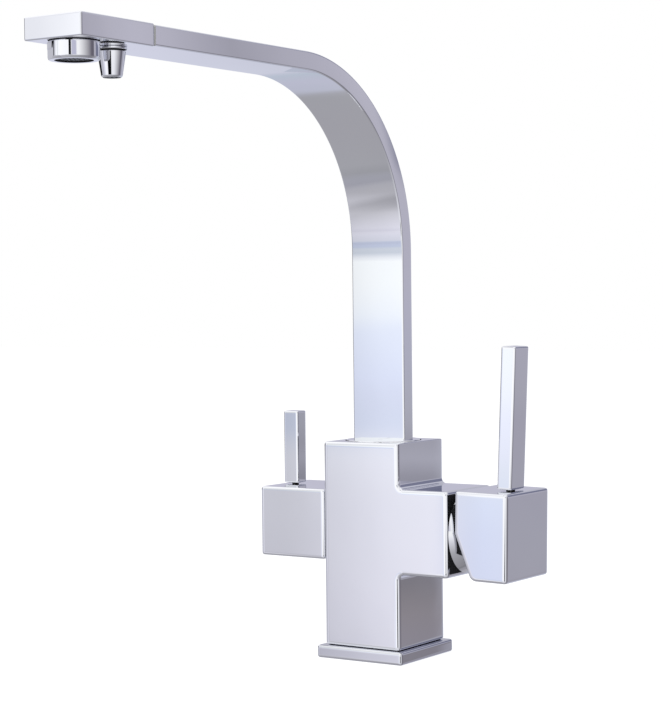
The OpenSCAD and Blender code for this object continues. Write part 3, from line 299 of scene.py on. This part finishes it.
def chrome_plate(name, dull, bright, bend_start=None):
    """Mirror bright plate. bend_start is the height in metres where a bent tube's bend starts; a
    band of painted shade is put on there.
    """
    made, tree, surface, place = start_finish(name)
    # Polishing leaves the plate mirror bright, with slow waves about 25 mm long, a fine
    # texture of about 2 mm, and a haze that comes and goes over some 60 mm
    swell = add(tree, "ShaderNodeTexNoise", {"Vector": place, "Scale": 1000 / 25, "Detail": 1.0})
    peel = add(tree, "ShaderNodeTexNoise", {"Vector": place, "Scale": 1000 / 2, "Detail": 1.0})
    haze = add(tree, "ShaderNodeTexNoise", {"Vector": place, "Scale": 1000 / 62.5, "Detail": 2.0})
    tone = add(tree, "ShaderNodeValToRGB", {0: haze.outputs[0]})
    set_stops(tone, [(0.3, dull), (0.7, bright)])
    colour = tone.outputs[0]
    if bend_start:
        # A band about 17 mm high on the face inside the bend is painted darker, as painted shade
        # where the bend starts
        spot = add(tree, "ShaderNodeSeparateXYZ", {0: place})
        painted_shade_height = add(tree, "ShaderNodeMapRange", {
            "Value": spot.outputs["Z"], "From Min": bend_start - 0.006,
            "From Max": bend_start + 0.014,
        })
        painted_bend_shade = add(tree, "ShaderNodeValToRGB", {0: painted_shade_height.outputs[0]})
        set_stops(painted_bend_shade, [
            (0.0, "#ffffff"), (0.12, "#eeeef2"), (0.25, "#cfd3dc"), (0.4, "#d2d5dd"),
            (0.5, "#dcdee2"), (0.6, "#e6e7ea"), (0.72, "#f2f3f5"), (0.85, "#ffffff"),
        ])
        inside_bend = add(tree, "ShaderNodeMath", {
            0: spot.outputs["Y"], 1: -0.00485,
        }, operation="LESS_THAN")
        colour = add(tree, "ShaderNodeMixRGB", {
            0: inside_bend.outputs[0], 1: colour, 2: painted_bend_shade.outputs[0],
        }, blend_type="MULTIPLY").outputs[0]
    tree.links.new(colour, surface.inputs["Base Color"])
    rough = add(tree, "ShaderNodeMapRange", {
        "Value": haze.outputs[0], "From Min": 0.3, "From Max": 0.7, "To Min": 0.02, "To Max": 0.05,
    })
    tree.links.new(rough.outputs[0], surface.inputs["Roughness"])
    surface.inputs["Metallic"].default_value = 1.0
    waves = add(tree, "ShaderNodeBump", {
        "Height": swell.outputs[0], "Strength": 1.0, "Distance": 1.4e-5,
    })
    fine = add(tree, "ShaderNodeBump", {
        "Height": peel.outputs[0], "Strength": 1.0, "Distance": 3e-7, "Normal": waves.outputs[0],
    })
    tree.links.new(fine.outputs[0], surface.inputs["Normal"])
    return made


chrome = chrome_plate("polished_chrome_plate", "#e4e5ea", "#e9eaee")

# In its hollows and on faces in the gaps between pieces, the casting is painted nearly black
# as painted shade, rough, with the sand grains of its mould, about 0.6 mm
painted_shade_casting, tree, surface, place = start_finish("casting_in_painted_black_shade")
grains = add(tree, "ShaderNodeTexNoise", {"Vector": place, "Scale": 1000 / 0.625, "Detail": 3.0})
painted_shade_tone = add(tree, "ShaderNodeValToRGB", {0: grains.outputs[0]})
set_stops(painted_shade_tone, [(0.3, "#141416"), (0.7, "#26262a")])
tree.links.new(painted_shade_tone.outputs[0], surface.inputs["Base Color"])
relief = add(tree, "ShaderNodeBump", {
    "Height": grains.outputs[0], "Strength": 0.6, "Distance": 1e-4,
})
tree.links.new(relief.outputs[0], surface.inputs["Normal"])
surface.inputs["Roughness"].default_value = 0.75
surface.inputs["Metallic"].default_value = 0.0
surface.inputs["IOR"].default_value = 1.45


def at(x, y, z, axis="Z", degrees=0):
    """Place in millimetres, turned about one axis."""
    return Matrix.Translation((x, y, z)) @ Matrix.Rotation(math.radians(degrees), 4, axis)


def placed(made, matrix):
    bmesh.ops.transform(made, matrix=matrix, verts=made.verts)
    return made


def arc(x, z, radius, start, stop, steps):
    """Points round (x, z) from one angle to another."""
    angles = [start + (stop - start) * k / steps for k in range(steps + 1)]
    return [(x + radius * math.cos(a), z + radius * math.sin(a)) for a in angles]


def slab(outline, depth):
    """Prism in millimetres from -depth to depth along Y. Its outline is of (x, z, share), where
    share is how much of the piece's rounding the edge gets that runs back from there."""
    made = bmesh.new()
    weight = made.edges.layers.float.new("bevel_weight_edge")
    front = [made.verts.new((x, -depth, z)) for x, z, share in outline]
    back = [made.verts.new((x, depth, z)) for x, z, share in outline]
    made.faces.new(front)
    made.faces.new(back[::-1])
    for i in range(len(outline)):
        j = (i + 1) % len(outline)
        made.faces.new([front[j], front[i], back[i], back[j]])
    bmesh.ops.recalc_face_normals(made, faces=made.faces)
    for e in made.edges:
        e[weight] = 1
    for a, b, (x, z, share) in zip(front, back, outline):
        made.edges.get((a, b))[weight] = share
    return made


def turned(profile, steps=96):
    """Round piece in millimetres, from a closed outline of (radius, height) points about Z."""
    made = bmesh.new()
    rings = []
    for r, z in profile:
        if r < 1e-6:
            rings.append([made.verts.new((0, 0, z))] * steps)
        else:
            circle = arc(0, 0, r, 0, 2 * math.pi, steps)[:-1]
            rings.append([made.verts.new((x, y, z)) for x, y in circle])
    for a, b in zip(rings, rings[1:] + rings[:1]):
        for k in range(steps):
            corners = [a[k], a[(k + 1) % steps], b[(k + 1) % steps], b[k]]
            corners = [c for i, c in enumerate(corners) if c not in corners[:i]]
            if len(corners) > 2:
                made.faces.new(corners)
    bmesh.ops.recalc_face_normals(made, faces=made.faces)
    return made


def bore(radius, low, high, steps=96):
    """What a drill takes away."""
    return turned([(0, low), (radius, low), (radius, high), (0, high)], steps)


def piece(name, made, body, material, rounding=0, cuts=(), in_painted_shade=None):
    """Finishes a piece: rolls its marked edges off as a polishing wheel does, cuts it, and gives
    it to its CAD body. The last argument tells from a face's middle and direction whether the
    face is painted black as painted shade."""
    def as_object(shape, label):
        mesh = bpy.data.meshes.new(label)
        bmesh.ops.scale(shape, vec=Vector((1, 1, 1)) / 1000, verts=shape.verts)
        shape.to_mesh(mesh)
        shape.free()
        thing = bpy.data.objects.new(label, mesh)
        scene.collection.objects.link(thing)
        return thing

    thing = as_object(made, name)
    if rounding:
        soft = thing.modifiers.new("rounding", "BEVEL")
        soft.width = rounding / 1000
        soft.segments = 12
        soft.profile = 0.68
        soft.limit_method = "WEIGHT"
    cutters = [as_object(cut, name + "_cut") for cut in cuts]
    for cutter in cutters:
        cut = thing.modifiers.new("cut", "BOOLEAN")
        cut.operation = "DIFFERENCE"
        cut.object = cutter
        cut.solver = "EXACT"
    bpy.context.view_layer.update()
    ready = thing.evaluated_get(bpy.context.evaluated_depsgraph_get())
    mesh = bpy.data.meshes.new_from_object(ready)
    thing.modifiers.clear()
    for cutter in cutters:
        bpy.data.objects.remove(cutter)
    thing.data = mesh
    mesh.name = name
    mesh.materials.clear()
    mesh.materials.append(material)
    if in_painted_shade:
        mesh.materials.append(painted_shade_casting)
        for face in mesh.polygons:
            face.material_index = int(in_painted_shade(face.center * 1000, face.normal))
    mesh.polygons.foreach_set("use_smooth", [True] * len(mesh.polygons))
    mesh.set_sharp_from_angle(angle=math.radians(32))
    flat = thing.modifiers.new("flat_faces", "WEIGHTED_NORMAL")
    flat.keep_sharp = True
    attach(thing, body)
    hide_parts(name.removesuffix("_piece"))


column_half, plate_top, body_top = 25, 7.3, 124.3
arm_end, arm_low, arm_high, inside_r = 56.8, 50.4, 98.6, 3
arm_z, valve_z = 74.5, 76.4
low_corner, high_corner = (
    [(x, z, 0) for x, z in arc(column_half + inside_r, middle_z, inside_r,
                               math.radians(start), math.radians(start - 90), 8)]
    for middle_z, start in ((arm_low - inside_r, 180), (arm_high + inside_r, 270)))
# The column's top right edge is polished nearly sharp, where the others are rolled off
casting = slab([
    (-column_half, plate_top, 1), (column_half, plate_top, 1), *low_corner,
    (arm_end, arm_low, 1), (arm_end, arm_high, 1), *high_corner,
    (column_half, body_top, 0.2), (-column_half, body_top, 1),
], column_half)

recess_r, recess_z = 22, 118.82
stem_r, stem_z, waterway_r, waterway_z = 15, 83, 5, 60
cartridge_r, cartridge_deep, nut_r, nut_deep = 18.16, 35.8, 19.45, 11.3
valve_r, valve_deep = 9.6, 15
inlet_r, inlet_top, lock_screw_r, lock_screw_z = 19.05, 27.3, 2.5, 101.4
along_arm = at(arm_end, 0, arm_z, "Y", 90)
body_cuts = [
    bore(recess_r, recess_z, 140),
    turned([(0, waterway_z), (waterway_r, waterway_z), (waterway_r, stem_z), (stem_r, stem_z),
            (stem_r, 119.5), (0, 119.5)]),
    bore(inlet_r, 0, inlet_top),
    placed(turned([(0, -cartridge_deep), (cartridge_r, -cartridge_deep), (cartridge_r, -nut_deep),
                   (nut_r, -nut_deep), (nut_r, 5), (0, 5)]), along_arm),
    placed(bore(valve_r, -valve_deep, 5), at(-column_half, 0, valve_z, "Y", -90)),
    placed(bore(lock_screw_r, 14, 30, 32), at(0, 0, lock_screw_z, "X", -90)),
]


# Faces in the recess and bores, and the arm's end face, are painted black as painted shade
def painted_shade_in_body(middle, facing):
    in_recess = math.hypot(middle.x, middle.y) < recess_r + 0.05 and middle.z < body_top - 0.01
    in_arm = (math.hypot(middle.y, middle.z - arm_z) < nut_r + 0.05
              and middle.x > arm_end - cartridge_deep - 1)
    in_valve = (math.hypot(middle.y, middle.z - valve_z) < valve_r + 0.1
                and -column_half + 0.01 < middle.x < valve_deep - column_half + 1)
    return in_recess or in_arm or in_valve or middle.x > arm_end - 0.01


piece("tap_body_piece", casting, "tap", chrome, 3, body_cuts, painted_shade_in_body)


# Base plate
# A square chromed brass plate that covers the hole in the worktop, with a groove below for
# its rubber ring. Its chrome is painted a little darker than the rest, as painted shade, and
# its groove gets the black painted shade.
def block(low, high):
    """Plain block in millimetres, every edge marked for rounding."""
    made = bmesh.new()
    bmesh.ops.create_cube(made, size=1)
    for v in made.verts:
        v.co = Vector([low[i] if v.co[i] < 0 else high[i] for i in range(3)])
    weight = made.edges.layers.float.new("bevel_weight_edge")
    for e in made.edges:
        e[weight] = 1
    return made


plate_half, hole_r, groove_in_r, groove_r, groove_top = 28.5, 20, 21.8, 25.2, 2
plate_cuts = [
    bore(hole_r, -2, 10),
    turned([(groove_in_r, -2), (groove_r, -2), (groove_r, groove_top), (groove_in_r, groove_top)]),
]
# The plate's chrome is a darker copy of the rest, as painted shade
painted_shade_plate_chrome = chrome_plate("chrome_plate_with_painted_shade", "#d3d4da", "#dcdde2")
piece("base_plate_piece", block((-plate_half, -plate_half, 0), (plate_half, plate_half, plate_top)),
      "tap", painted_shade_plate_chrome, 2.2, plate_cuts, lambda middle, facing:
      math.hypot(middle.x, middle.y) < groove_r + 0.1 and middle.z < plate_top - 0.01)

# Spout collar
# A turned and chromed brass disc let into the column's top. The spout stands on it and turns
# with it, held by the stem in the column's bore. An open gap of 0.3 mm runs round its rim.
collar_r, collar_low, collar_top, rim_r, spigot_r = 21.4, 119.9, 124.8, 0.5, 13.05
collar_profile = [
    (0, collar_low), (collar_r + 0.3, collar_low), (collar_r + 0.3, 122), (collar_r, 122.3),
    *arc(collar_r - rim_r, collar_top - rim_r, rim_r, 0, math.radians(90), 6), (0, collar_top),
]
filtered_way_r, mixed_way_r, mixed_way_x = 2.55, 3.1, 8.5
collar_cuts = [bore(spigot_r, 110, 122.9), bore(filtered_way_r, 120, 130, 48)]
for x in (-mixed_way_x, mixed_way_x):
    collar_cuts.append(placed(bore(mixed_way_r, 120, 130, 48), at(x, 0, 0)))
# Its sides below the rim, its underside and the spigot's bore are painted black as painted shade
piece("spout_collar_piece", turned(collar_profile), "spout", chrome, 0, collar_cuts,
      lambda middle, facing: middle.z < collar_top - rim_r + 0.01
      or (math.hypot(middle.x, middle.y) < spigot_r - 0.05 and abs(facing.z) < 0.5))

# Spout
# Flat brass tube drawn over a bend and chromed, one unbroken ribbon from the collar to the
# outlet block. Its long edges are only slightly rounded, so they show as bright lines.
foot_z, level_z, end_y = collar_top / 1000, 0.332, -0.2266
tube_sizes = {
    "Width": 0.0345, "Thickness": 0.010, "Edge radius": 0.0009, "Wall": 0.0013,
    "Inner radius": 0.00045, "Bend radius": 0.099,
}
tube_steps = {"Bend steps": 64, "Edge steps": 6}
sweep = bpy.data.node_groups.new("swept_flat_tube", "GeometryNodeTree")
sweep.interface.new_socket("Geometry", in_out="INPUT", socket_type="NodeSocketGeometry")
for kind, values in (("NodeSocketFloat", tube_sizes), ("NodeSocketInt", tube_steps)):
    for name, value in values.items():
        size = sweep.interface.new_socket(name, in_out="INPUT", socket_type=kind)
        size.default_value = value
sweep.interface.new_socket("Finish", in_out="INPUT", socket_type="NodeSocketMaterial")
sweep.interface.new_socket("Geometry", in_out="OUTPUT", socket_type="NodeSocketGeometry")
given = add(sweep, "NodeGroupInput").outputs
run = add(sweep, "GeometryNodeMeshToCurve", {"Mesh": given["Geometry"]})
bent = add(sweep, "GeometryNodeFilletCurve", {
    "Curve": run.outputs[0], "Radius": given["Bend radius"], "Count": given["Bend steps"],
}, mode="POLY")
walls = add(sweep, "ShaderNodeMath", {0: given["Wall"], 1: 2.0}, operation="MULTIPLY").outputs[0]
inner_width, inner_thickness = (
    add(sweep, "ShaderNodeMath", {0: given[name], 1: walls}, operation="SUBTRACT").outputs[0]
    for name in ("Width", "Thickness"))
shells, rims = [], []
for wide, thick, radius in (
    (given["Width"], given["Thickness"], given["Edge radius"]),
    (inner_width, inner_thickness, given["Inner radius"]),
):
    section = add(sweep, "GeometryNodeCurvePrimitiveQuadrilateral", {
        "Width": wide, "Height": thick,
    })
    eased = add(sweep, "GeometryNodeFilletCurve", {
        "Curve": section.outputs[0], "Radius": radius, "Count": given["Edge steps"],
    }, mode="POLY")
    shells.append(add(sweep, "GeometryNodeCurveToMesh", {
        "Curve": bent.outputs[0], "Profile Curve": eased.outputs[0],
    }).outputs[0])
    rims.append(eased.outputs[0])
turned_in = add(sweep, "GeometryNodeFlipFaces", {"Mesh": shells[1]})
both_rims = add(sweep, "GeometryNodeJoinGeometry")
sweep.links.new(rims[1], both_rims.inputs[0])
sweep.links.new(rims[0], both_rims.inputs[0])
rim = add(sweep, "GeometryNodeFillCurve", {"Curve": both_rims.outputs[0]}, mode="NGONS")
low_rim = add(sweep, "GeometryNodeTransform", {
    "Geometry": rim.outputs[0], "Translation": (0, 0, foot_z),
})
high_rim = add(sweep, "GeometryNodeTransform", {
    "Geometry": rim.outputs[0], "Translation": (0, end_y, level_z),
    "Rotation": (math.radians(90), 0, 0),
})
whole = add(sweep, "GeometryNodeJoinGeometry")
for part in (shells[0], turned_in.outputs[0], low_rim.outputs[0], high_rim.outputs[0]):
    sweep.links.new(part, whole.inputs[0])
real = add(sweep, "GeometryNodeRealizeInstances", {"Geometry": whole.outputs[0]})
closed = add(sweep, "GeometryNodeMergeByDistance", {"Geometry": real.outputs[0], "Distance": 2e-6})
coated = add(sweep, "GeometryNodeSetMaterial", {
    "Geometry": closed.outputs[0], "Material": given["Finish"],
})
add(sweep, "NodeGroupOutput", {"Geometry": coated.outputs[0]})
line = bpy.data.meshes.new("spout_line")
line.from_pydata([(0, 0, foot_z), (0, 0, level_z), (0, end_y, level_z)], [(0, 1), (1, 2)], [])
spout = bpy.data.objects.new("spout_tube_piece", line)
scene.collection.objects.link(spout)
maker = spout.modifiers.new("sweep", "NODES")
maker.node_group = sweep
socket_of = {
    item.name: item.identifier for item in sweep.interface.items_tree
    if item.item_type == "SOCKET" and item.in_out == "INPUT"
}
# The tube's chrome gets a band of painted shade on the face inside the bend
maker[socket_of["Finish"]] = chrome_plate(
    "chrome_plate_with_painted_bend_shade", "#e4e5ea", "#e9eaee", level_z - tube_sizes["Bend radius"])
bpy.context.view_layer.update()
ready = spout.evaluated_get(bpy.context.evaluated_depsgraph_get())
spout.data = bpy.data.meshes.new_from_object(ready)
spout.modifiers.clear()
shape = bmesh.new()
shape.from_mesh(spout.data)
bmesh.ops.recalc_face_normals(shape, faces=shape.faces)
# The end's outer rim is filed off by 0.8 mm, where it meets the outlet block
past_wall = tube_sizes["Width"] / 2 - tube_sizes["Wall"] + 0.0001
end_rim = [e for e in shape.edges
           if all(v.co.y < end_y + 0.00001 and abs(v.co.x) > past_wall for v in e.verts)]
bmesh.ops.bevel(shape, geom=end_rim, offset=0.0008, segments=1, affect="EDGES")
shape.to_mesh(spout.data)
shape.free()
spout.data.polygons.foreach_set("use_smooth", [True] * len(spout.data.polygons))
spout.data.set_sharp_from_angle(angle=math.radians(40))
spout.modifiers.new("flat_faces", "WEIGHTED_NORMAL").keep_sharp = True
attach(spout, "spout")
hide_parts("spout_tube")

# Outlet block
# A machined brass block, chromed, pushed on to the spout's end, with both outlets screwed into
# its underside. It is a hair wider than the spout. Its rounded end and the tube's filed rim
# leave a fine seam, opened here to 0.6 mm so that it shows.
aerator_y, aerator_hole_r, aerator_hole_top = -265, 11.05, 333.5
nozzle_y, nozzle_hole_r, nozzle_hole_top = -238, 4.05, 331.5
head_cuts = [
    placed(bore(aerator_hole_r, 320, aerator_hole_top), at(0, aerator_y, 0)),
    placed(bore(nozzle_hole_r, 320, nozzle_hole_top, 64), at(0, nozzle_y, 0)),
]
# The walls of the outlets' bores are painted black as painted shade
piece("spout_head_piece", block((-17.45, -280, 326.5), (17.45, -227.2, 337.5)), "spout", chrome,
      1.1, head_cuts, lambda middle, facing:
      middle.z < aerator_hole_top + 0.01 and abs(facing.z) < 0.99
      and abs(middle.x) < aerator_hole_r + 0.15
      and aerator_y - 12 < middle.y < nozzle_y + 8)

# Aerator housing
# A turned and chromed brass ring with two flats for a wrench, screwed up against the outlet
# block. Its neck and bore are painted black as painted shade, so the neck shows as a fine
# black gap, and the plastic insert sits inside.
housing_r, low_z, shoulder_z = 12.4, 317.7, 326.15
mouth_r, bore_r, neck_r, neck_top = 9.2, 9.8, 10.95, 331.1
housing_profile = [
    (mouth_r, low_z), (11.6, low_z), (11.85, low_z + 0.25), (12.3, low_z + 1.0),
    (housing_r, low_z + 1.3), (housing_r, shoulder_z - 0.35), (12.1, shoulder_z),
    (neck_r, shoulder_z), (neck_r, neck_top), (bore_r, neck_top), (bore_r, low_z + 0.6),
    (mouth_r, low_z + 0.6),
]
at_aerator = at(0, aerator_y, 0)
screwed_to = 56.4
flats = [
    placed(block((-20, -20, low_z + 0.4), (-11.35, 20, low_z + 5)),
           at_aerator @ at(0, 0, 0, "Z", screwed_to + side))
    for side in (0, 180)
]
# The neck and the bore get the black painted shade
piece("aerator_housing_piece", placed(turned(housing_profile, 128), at_aerator), "spout", chrome,
      0, flats, lambda middle, facing: middle.z > shoulder_z - 0.01
      or math.hypot(middle.x, middle.y - aerator_y) < bore_r + 0.1)

# Filter nozzle
# Filtered water leaves through its own turned cone of chromed brass, screwed in behind the
# aerator. A small ring covers its thread; the ring's underside and the nozzle's thread are
# painted black as painted shade, so the neck between them is a dark line.
ring_r, ring_low, ring_top, neck_z = 7.5, 325.25, 326.4, 324.45
ring_profile = [
    (nozzle_hole_r, 324.5), (6.1, 324.5), (6.1, ring_low), (7.2, ring_low),
    (ring_r, ring_low + 0.25), (ring_r, 326.2), (7.3, ring_top), (nozzle_hole_r, ring_top),
]
at_nozzle = at(0, nozzle_y, 0)
# The ring's underside and the nozzle's thread get the black painted shade
piece("nozzle_ring_piece", placed(turned(ring_profile, 80), at_nozzle), "spout", chrome, 0, (),
      lambda middle, facing: middle.z < ring_low + 0.01)
nozzle_low, nozzle_top, thread_r, outlet_r = 312.05, 331.4, 4, 2.2
nozzle_profile = [
    (3.7, nozzle_low), (4.3, nozzle_low), (4.7, 312.3), (5.05, 312.75), (5.15, 313.0),
    (6.85, 324.1), (6.75, 324.35), (6.5, neck_z), (thread_r, neck_z), (thread_r, nozzle_top),
    (outlet_r, nozzle_top), (outlet_r, 316.05), (3.7, 316.05),
]
piece("filter_nozzle_piece", placed(turned(nozzle_profile, 80), at_nozzle), "spout", chrome, 0, (),
      lambda middle, facing: math.hypot(middle.x, middle.y - nozzle_y) < thread_r + 0.01)

# Dome cover
# A spun brass cap, chromed, that hides the joint between arm and handle. It is screwed on the
# cartridge's nut, and its middle is open for the spindle.
dome_r, dome_middle, dome_high, wall = 30.24, -18.9, 8.2, 1.5
dome_mouth_r, nut_thread_r, thread_high = 13.4, 17.05, 3.4
inside_dome_r = dome_r - wall
dome_profile = [
    *arc(0, dome_middle, dome_r, math.asin(-dome_middle / dome_r),
         math.asin((dome_high - dome_middle) / dome_r), 12),
    *arc(0, dome_middle, inside_dome_r, math.acos(dome_mouth_r / inside_dome_r),
         math.asin((thread_high - dome_middle) / inside_dome_r), 8),
    (nut_thread_r, thread_high), (nut_thread_r, 0),
]
piece("dome_cover_piece", placed(turned(dome_profile, 128), along_arm), "tap", chrome)

# Mixer head
# A chromed zinc casting with a slant cut below, so that it clears the arm when it is tilted.
# A ball shaped hollow takes the dome, and a grub screw from below holds it on the spindle.
on_pivot = at(48, 0, arm_z, "Y", 1)
near_x, far_x, head_low, head_high, head_half = 13, 45.6, -24, 25, 24.5
slant, slant_top, foot_r = math.radians(22), 1.5, 5
foot_x = near_x + (slant_top - head_low) * math.tan(slant)
foot_x += foot_r / math.tan(math.radians(45) + slant / 2)
foot = arc(foot_x, head_low + foot_r, foot_r, math.radians(180) + slant, math.radians(270), 8)
head = slab([
    (far_x, head_low, 1), (far_x, head_high, 1), (near_x, head_high, 1), (near_x, slant_top, 0.4),
    *((x, z, 0) for x, z in foot),
], head_half)
ball_r, ball_floor = 25.99, 21.5
ball = [
    (0, -2), (ball_r, -2), *arc(0, 0, ball_r, 0, math.asin(ball_floor / ball_r), 16),
    (0, ball_floor),
]
square, square_deep, screw_r, grub_x, stud_x = 3.95, 36.1, 2.55, 30.5, 34.8
head_cuts = [
    placed(placed(turned(ball, 128), at(0, 0, 0, "Y", 90)), on_pivot),
    placed(block((0, -square, -square), (square_deep, square, square)), on_pivot),
    placed(bore(screw_r, -30, 0, 48), on_pivot @ at(grub_x, 0, 0)),
    placed(bore(screw_r, 15, 30, 48), on_pivot @ at(stud_x, 0, 0)),
]


# The ball hollow, the near face by the arm, the square hole and the stud's hole are painted black
# as painted shade
def painted_shade_in_head(middle, facing):
    spot = on_pivot.inverted() @ middle
    in_square = (abs(spot.y) < square + 0.05 and abs(spot.z) < square + 0.05
                 and spot.x < square_deep + 0.1)
    in_stud_hole = math.hypot(spot.x - stud_x, spot.y) < screw_r + 0.05 and abs(facing.z) < 0.5
    return spot.length < ball_r + 0.1 or spot.x < near_x + 0.01 or in_square or in_stud_hole


piece("mixer_head_piece", placed(head, on_pivot), "mixer_handle", chrome, 2.6, head_cuts,
      painted_shade_in_head)

# Mixer lever
# A flat brass bar, chromed, with softened edges. It is screwed to a stud in the head's top,
# with a fine dark gap under its foot, and leans out by a degree and a half.
lean = 1.5
on_lever = on_pivot @ at(stud_x, 0, 25.6, "Y", lean)
piece("mixer_lever_piece", placed(block((-4.4, -8, 0), (4.4, 8, 79.3)), on_lever), "mixer_handle",
      chrome, 1.5, [placed(bore(screw_r, -2, 10, 48), on_lever @ at(0, 0, 0, "Y", -lean))])

# Filter handle and its lever
# A hollow chromed casting over the quarter turn valve, with a short bar on a stud. A grub
# screw at the back holds it on the valve's spindle.
hollow_low, hollow_high = (-67.4, -21.9, 58.8), (-20, 21.9, 94)
small_screw_r, small_lever_x, small_grub_x = 2.05, -62.1, -52
handle_cuts = [
    block(hollow_low, hollow_high),
    placed(bore(small_screw_r, 3, 30, 48), at(small_grub_x, 0, valve_z, "X", -90)),
]
# The inside of its hollow is painted black as painted shade
piece("filter_handle_piece", block((-70, -24.5, 56.2), (-25.4, 24.5, 96.6)), "filter_knob", chrome,
      2.4, handle_cuts, lambda middle, facing:
      middle.x > hollow_low[0] - 0.1 and abs(middle.y) < hollow_high[1] + 0.1
      and hollow_low[2] - 0.1 < middle.z < hollow_high[2] + 0.1)
piece("filter_lever_piece", block((small_lever_x - 5, -4.5, 97.2), (small_lever_x + 5, 4.5, 139.9)),
      "filter_knob", chrome, 1.5,
      [placed(bore(small_screw_r, 90, 104, 48), at(small_lever_x, 0, 0))])


# Brass pieces inside
# The inlet block, the swivel stem, the cartridge's nut and the filter valve's body and spindle
# are turned from brass bar. The tool leaves fine rings, and air dulls them. The real rings are
# 0.25 mm apart and are drawn 1.6 mm apart, so that they show.
def cad_material(made, *names):
    for name in names:
        nodes[name].data.materials.clear()
        nodes[name].data.materials.append(made)


def finish(name, dull, bright, grain_mm, dull_rough, bright_rough, relief_mm, rings_mm=0.0,
           **constants):
    """Material of a plain piece, with a grain of grain_mm and, on turned pieces, tool rings."""
    made, tree, surface, place = start_finish(name)
    grain = add(tree, "ShaderNodeTexNoise", {
        "Vector": place, "Scale": 1000 / grain_mm, "Detail": 3.0,
    })
    tone = add(tree, "ShaderNodeValToRGB", {0: grain.outputs[0]})
    set_stops(tone, [(0.3, dull), (0.7, bright)])
    tree.links.new(tone.outputs[0], surface.inputs["Base Color"])
    rough = add(tree, "ShaderNodeMapRange", {
        "Value": grain.outputs[0], "From Min": 0.3, "From Max": 0.7,
        "To Min": dull_rough, "To Max": bright_rough,
    })
    tree.links.new(rough.outputs[0], surface.inputs["Roughness"])
    relief = add(tree, "ShaderNodeBump", {
        "Height": grain.outputs[0], "Strength": 0.5, "Distance": relief_mm / 1000,
    })
    if rings_mm:
        # At scale 1 the bands of a wave texture are 2 pi / 20 of a metre apart
        rings = add(tree, "ShaderNodeTexWave", {
            "Vector": place, "Scale": 1000 / rings_mm * 2 * math.pi / 20, "Distortion": 0.2,
        }, bands_direction="Z")
        relief = add(tree, "ShaderNodeBump", {
            "Height": rings.outputs[1], "Strength": 0.4, "Distance": relief_mm / 1000,
            "Normal": relief.outputs[0],
        })
    tree.links.new(relief.outputs[0], surface.inputs["Normal"])
    for socket, value in constants.items():
        surface.inputs[socket.replace("_", " ")].default_value = value
    return made


cad_material(finish("turned_brass", "#a8864a", "#c4a468", 6, 0.36, 0.24, 0.01, 1.57,
                    Metallic=1.0),
             "inlet_block", "spout_stem", "cartridge_nut", "filter_valve_body", "filter_spindle")

# Plastic pieces inside
# The glide ring, the filtered water's tube and the cartridge's housing and rotor are moulded in
# white acetal, and the outlets' inserts and the discs' carriage in dark acetal. All are
# pressed or clipped in, and look slightly waxy.
cad_material(finish("moulded_white_acetal", "#dcdcd6", "#e6e6e1", 3, 0.42, 0.34, 0.01, IOR=1.48),
             "glide_ring", "filter_tube", "cartridge_housing", "cartridge_rotor")
cad_material(finish("moulded_dark_acetal", "#18181a", "#242427", 3, 0.45, 0.36, 0.01, IOR=1.48),
             "aerator_insert", "nozzle_insert", "disc_carriage")

# Rubber seals
# Rings of black nitrile rubber that lie in grooves and are squeezed as the tap is put together.
# They are moulded and then tumbled, so they are matt with a faint bloom.
cad_material(finish("moulded_nitrile_rubber", "#161617", "#212122", 1.2, 0.75, 0.6, 0.02, IOR=1.5),
             "base_seal", "inlet_seal", "stem_seals", "spout_joint_seal", "aerator_seal",
             "cartridge_seals", "filter_valve_seal", "spindle_seals")

# Ceramic discs
# Two pairs of alumina discs open and shut the water, one disc of each pair fixed and one moved.
# They are pressed, fired and lapped so flat that they cling together, off-white and glossy.
cad_material(finish("lapped_alumina_ceramic", "#e6e0d4", "#f0ebe1", 0.8, 0.16, 0.1, 0.002,
                    IOR=1.77),
             "fixed_disc", "moving_disc", "filter_fixed_disc", "filter_moving_disc")

# Steel pins, studs and screws
# The pin, the spindle and the clip are stainless steel, drawn and ground to a soft grey shine.
# The screws are blackened steel, and the studs are painted black as painted shade, so the
# gap below each lever looks black.
cad_material(finish("ground_stainless_steel", "#9c9ea2", "#b6b8bc", 2, 0.34, 0.24, 0.006, 1.885,
                    Metallic=1.0),
             "pivot_pin", "cartridge_spindle", "spindle_clip")
cad_material(finish("blackened_steel_and_painted_stud_shade", "#0c0c0e", "#18181b", 1.5, 0.5, 0.38, 0.006,
                    Metallic=0.0, IOR=1.6),
             "spout_lock_screw", "lever_stud", "head_grub_screw", "filter_lever_stud",
             "filter_grub_screw")
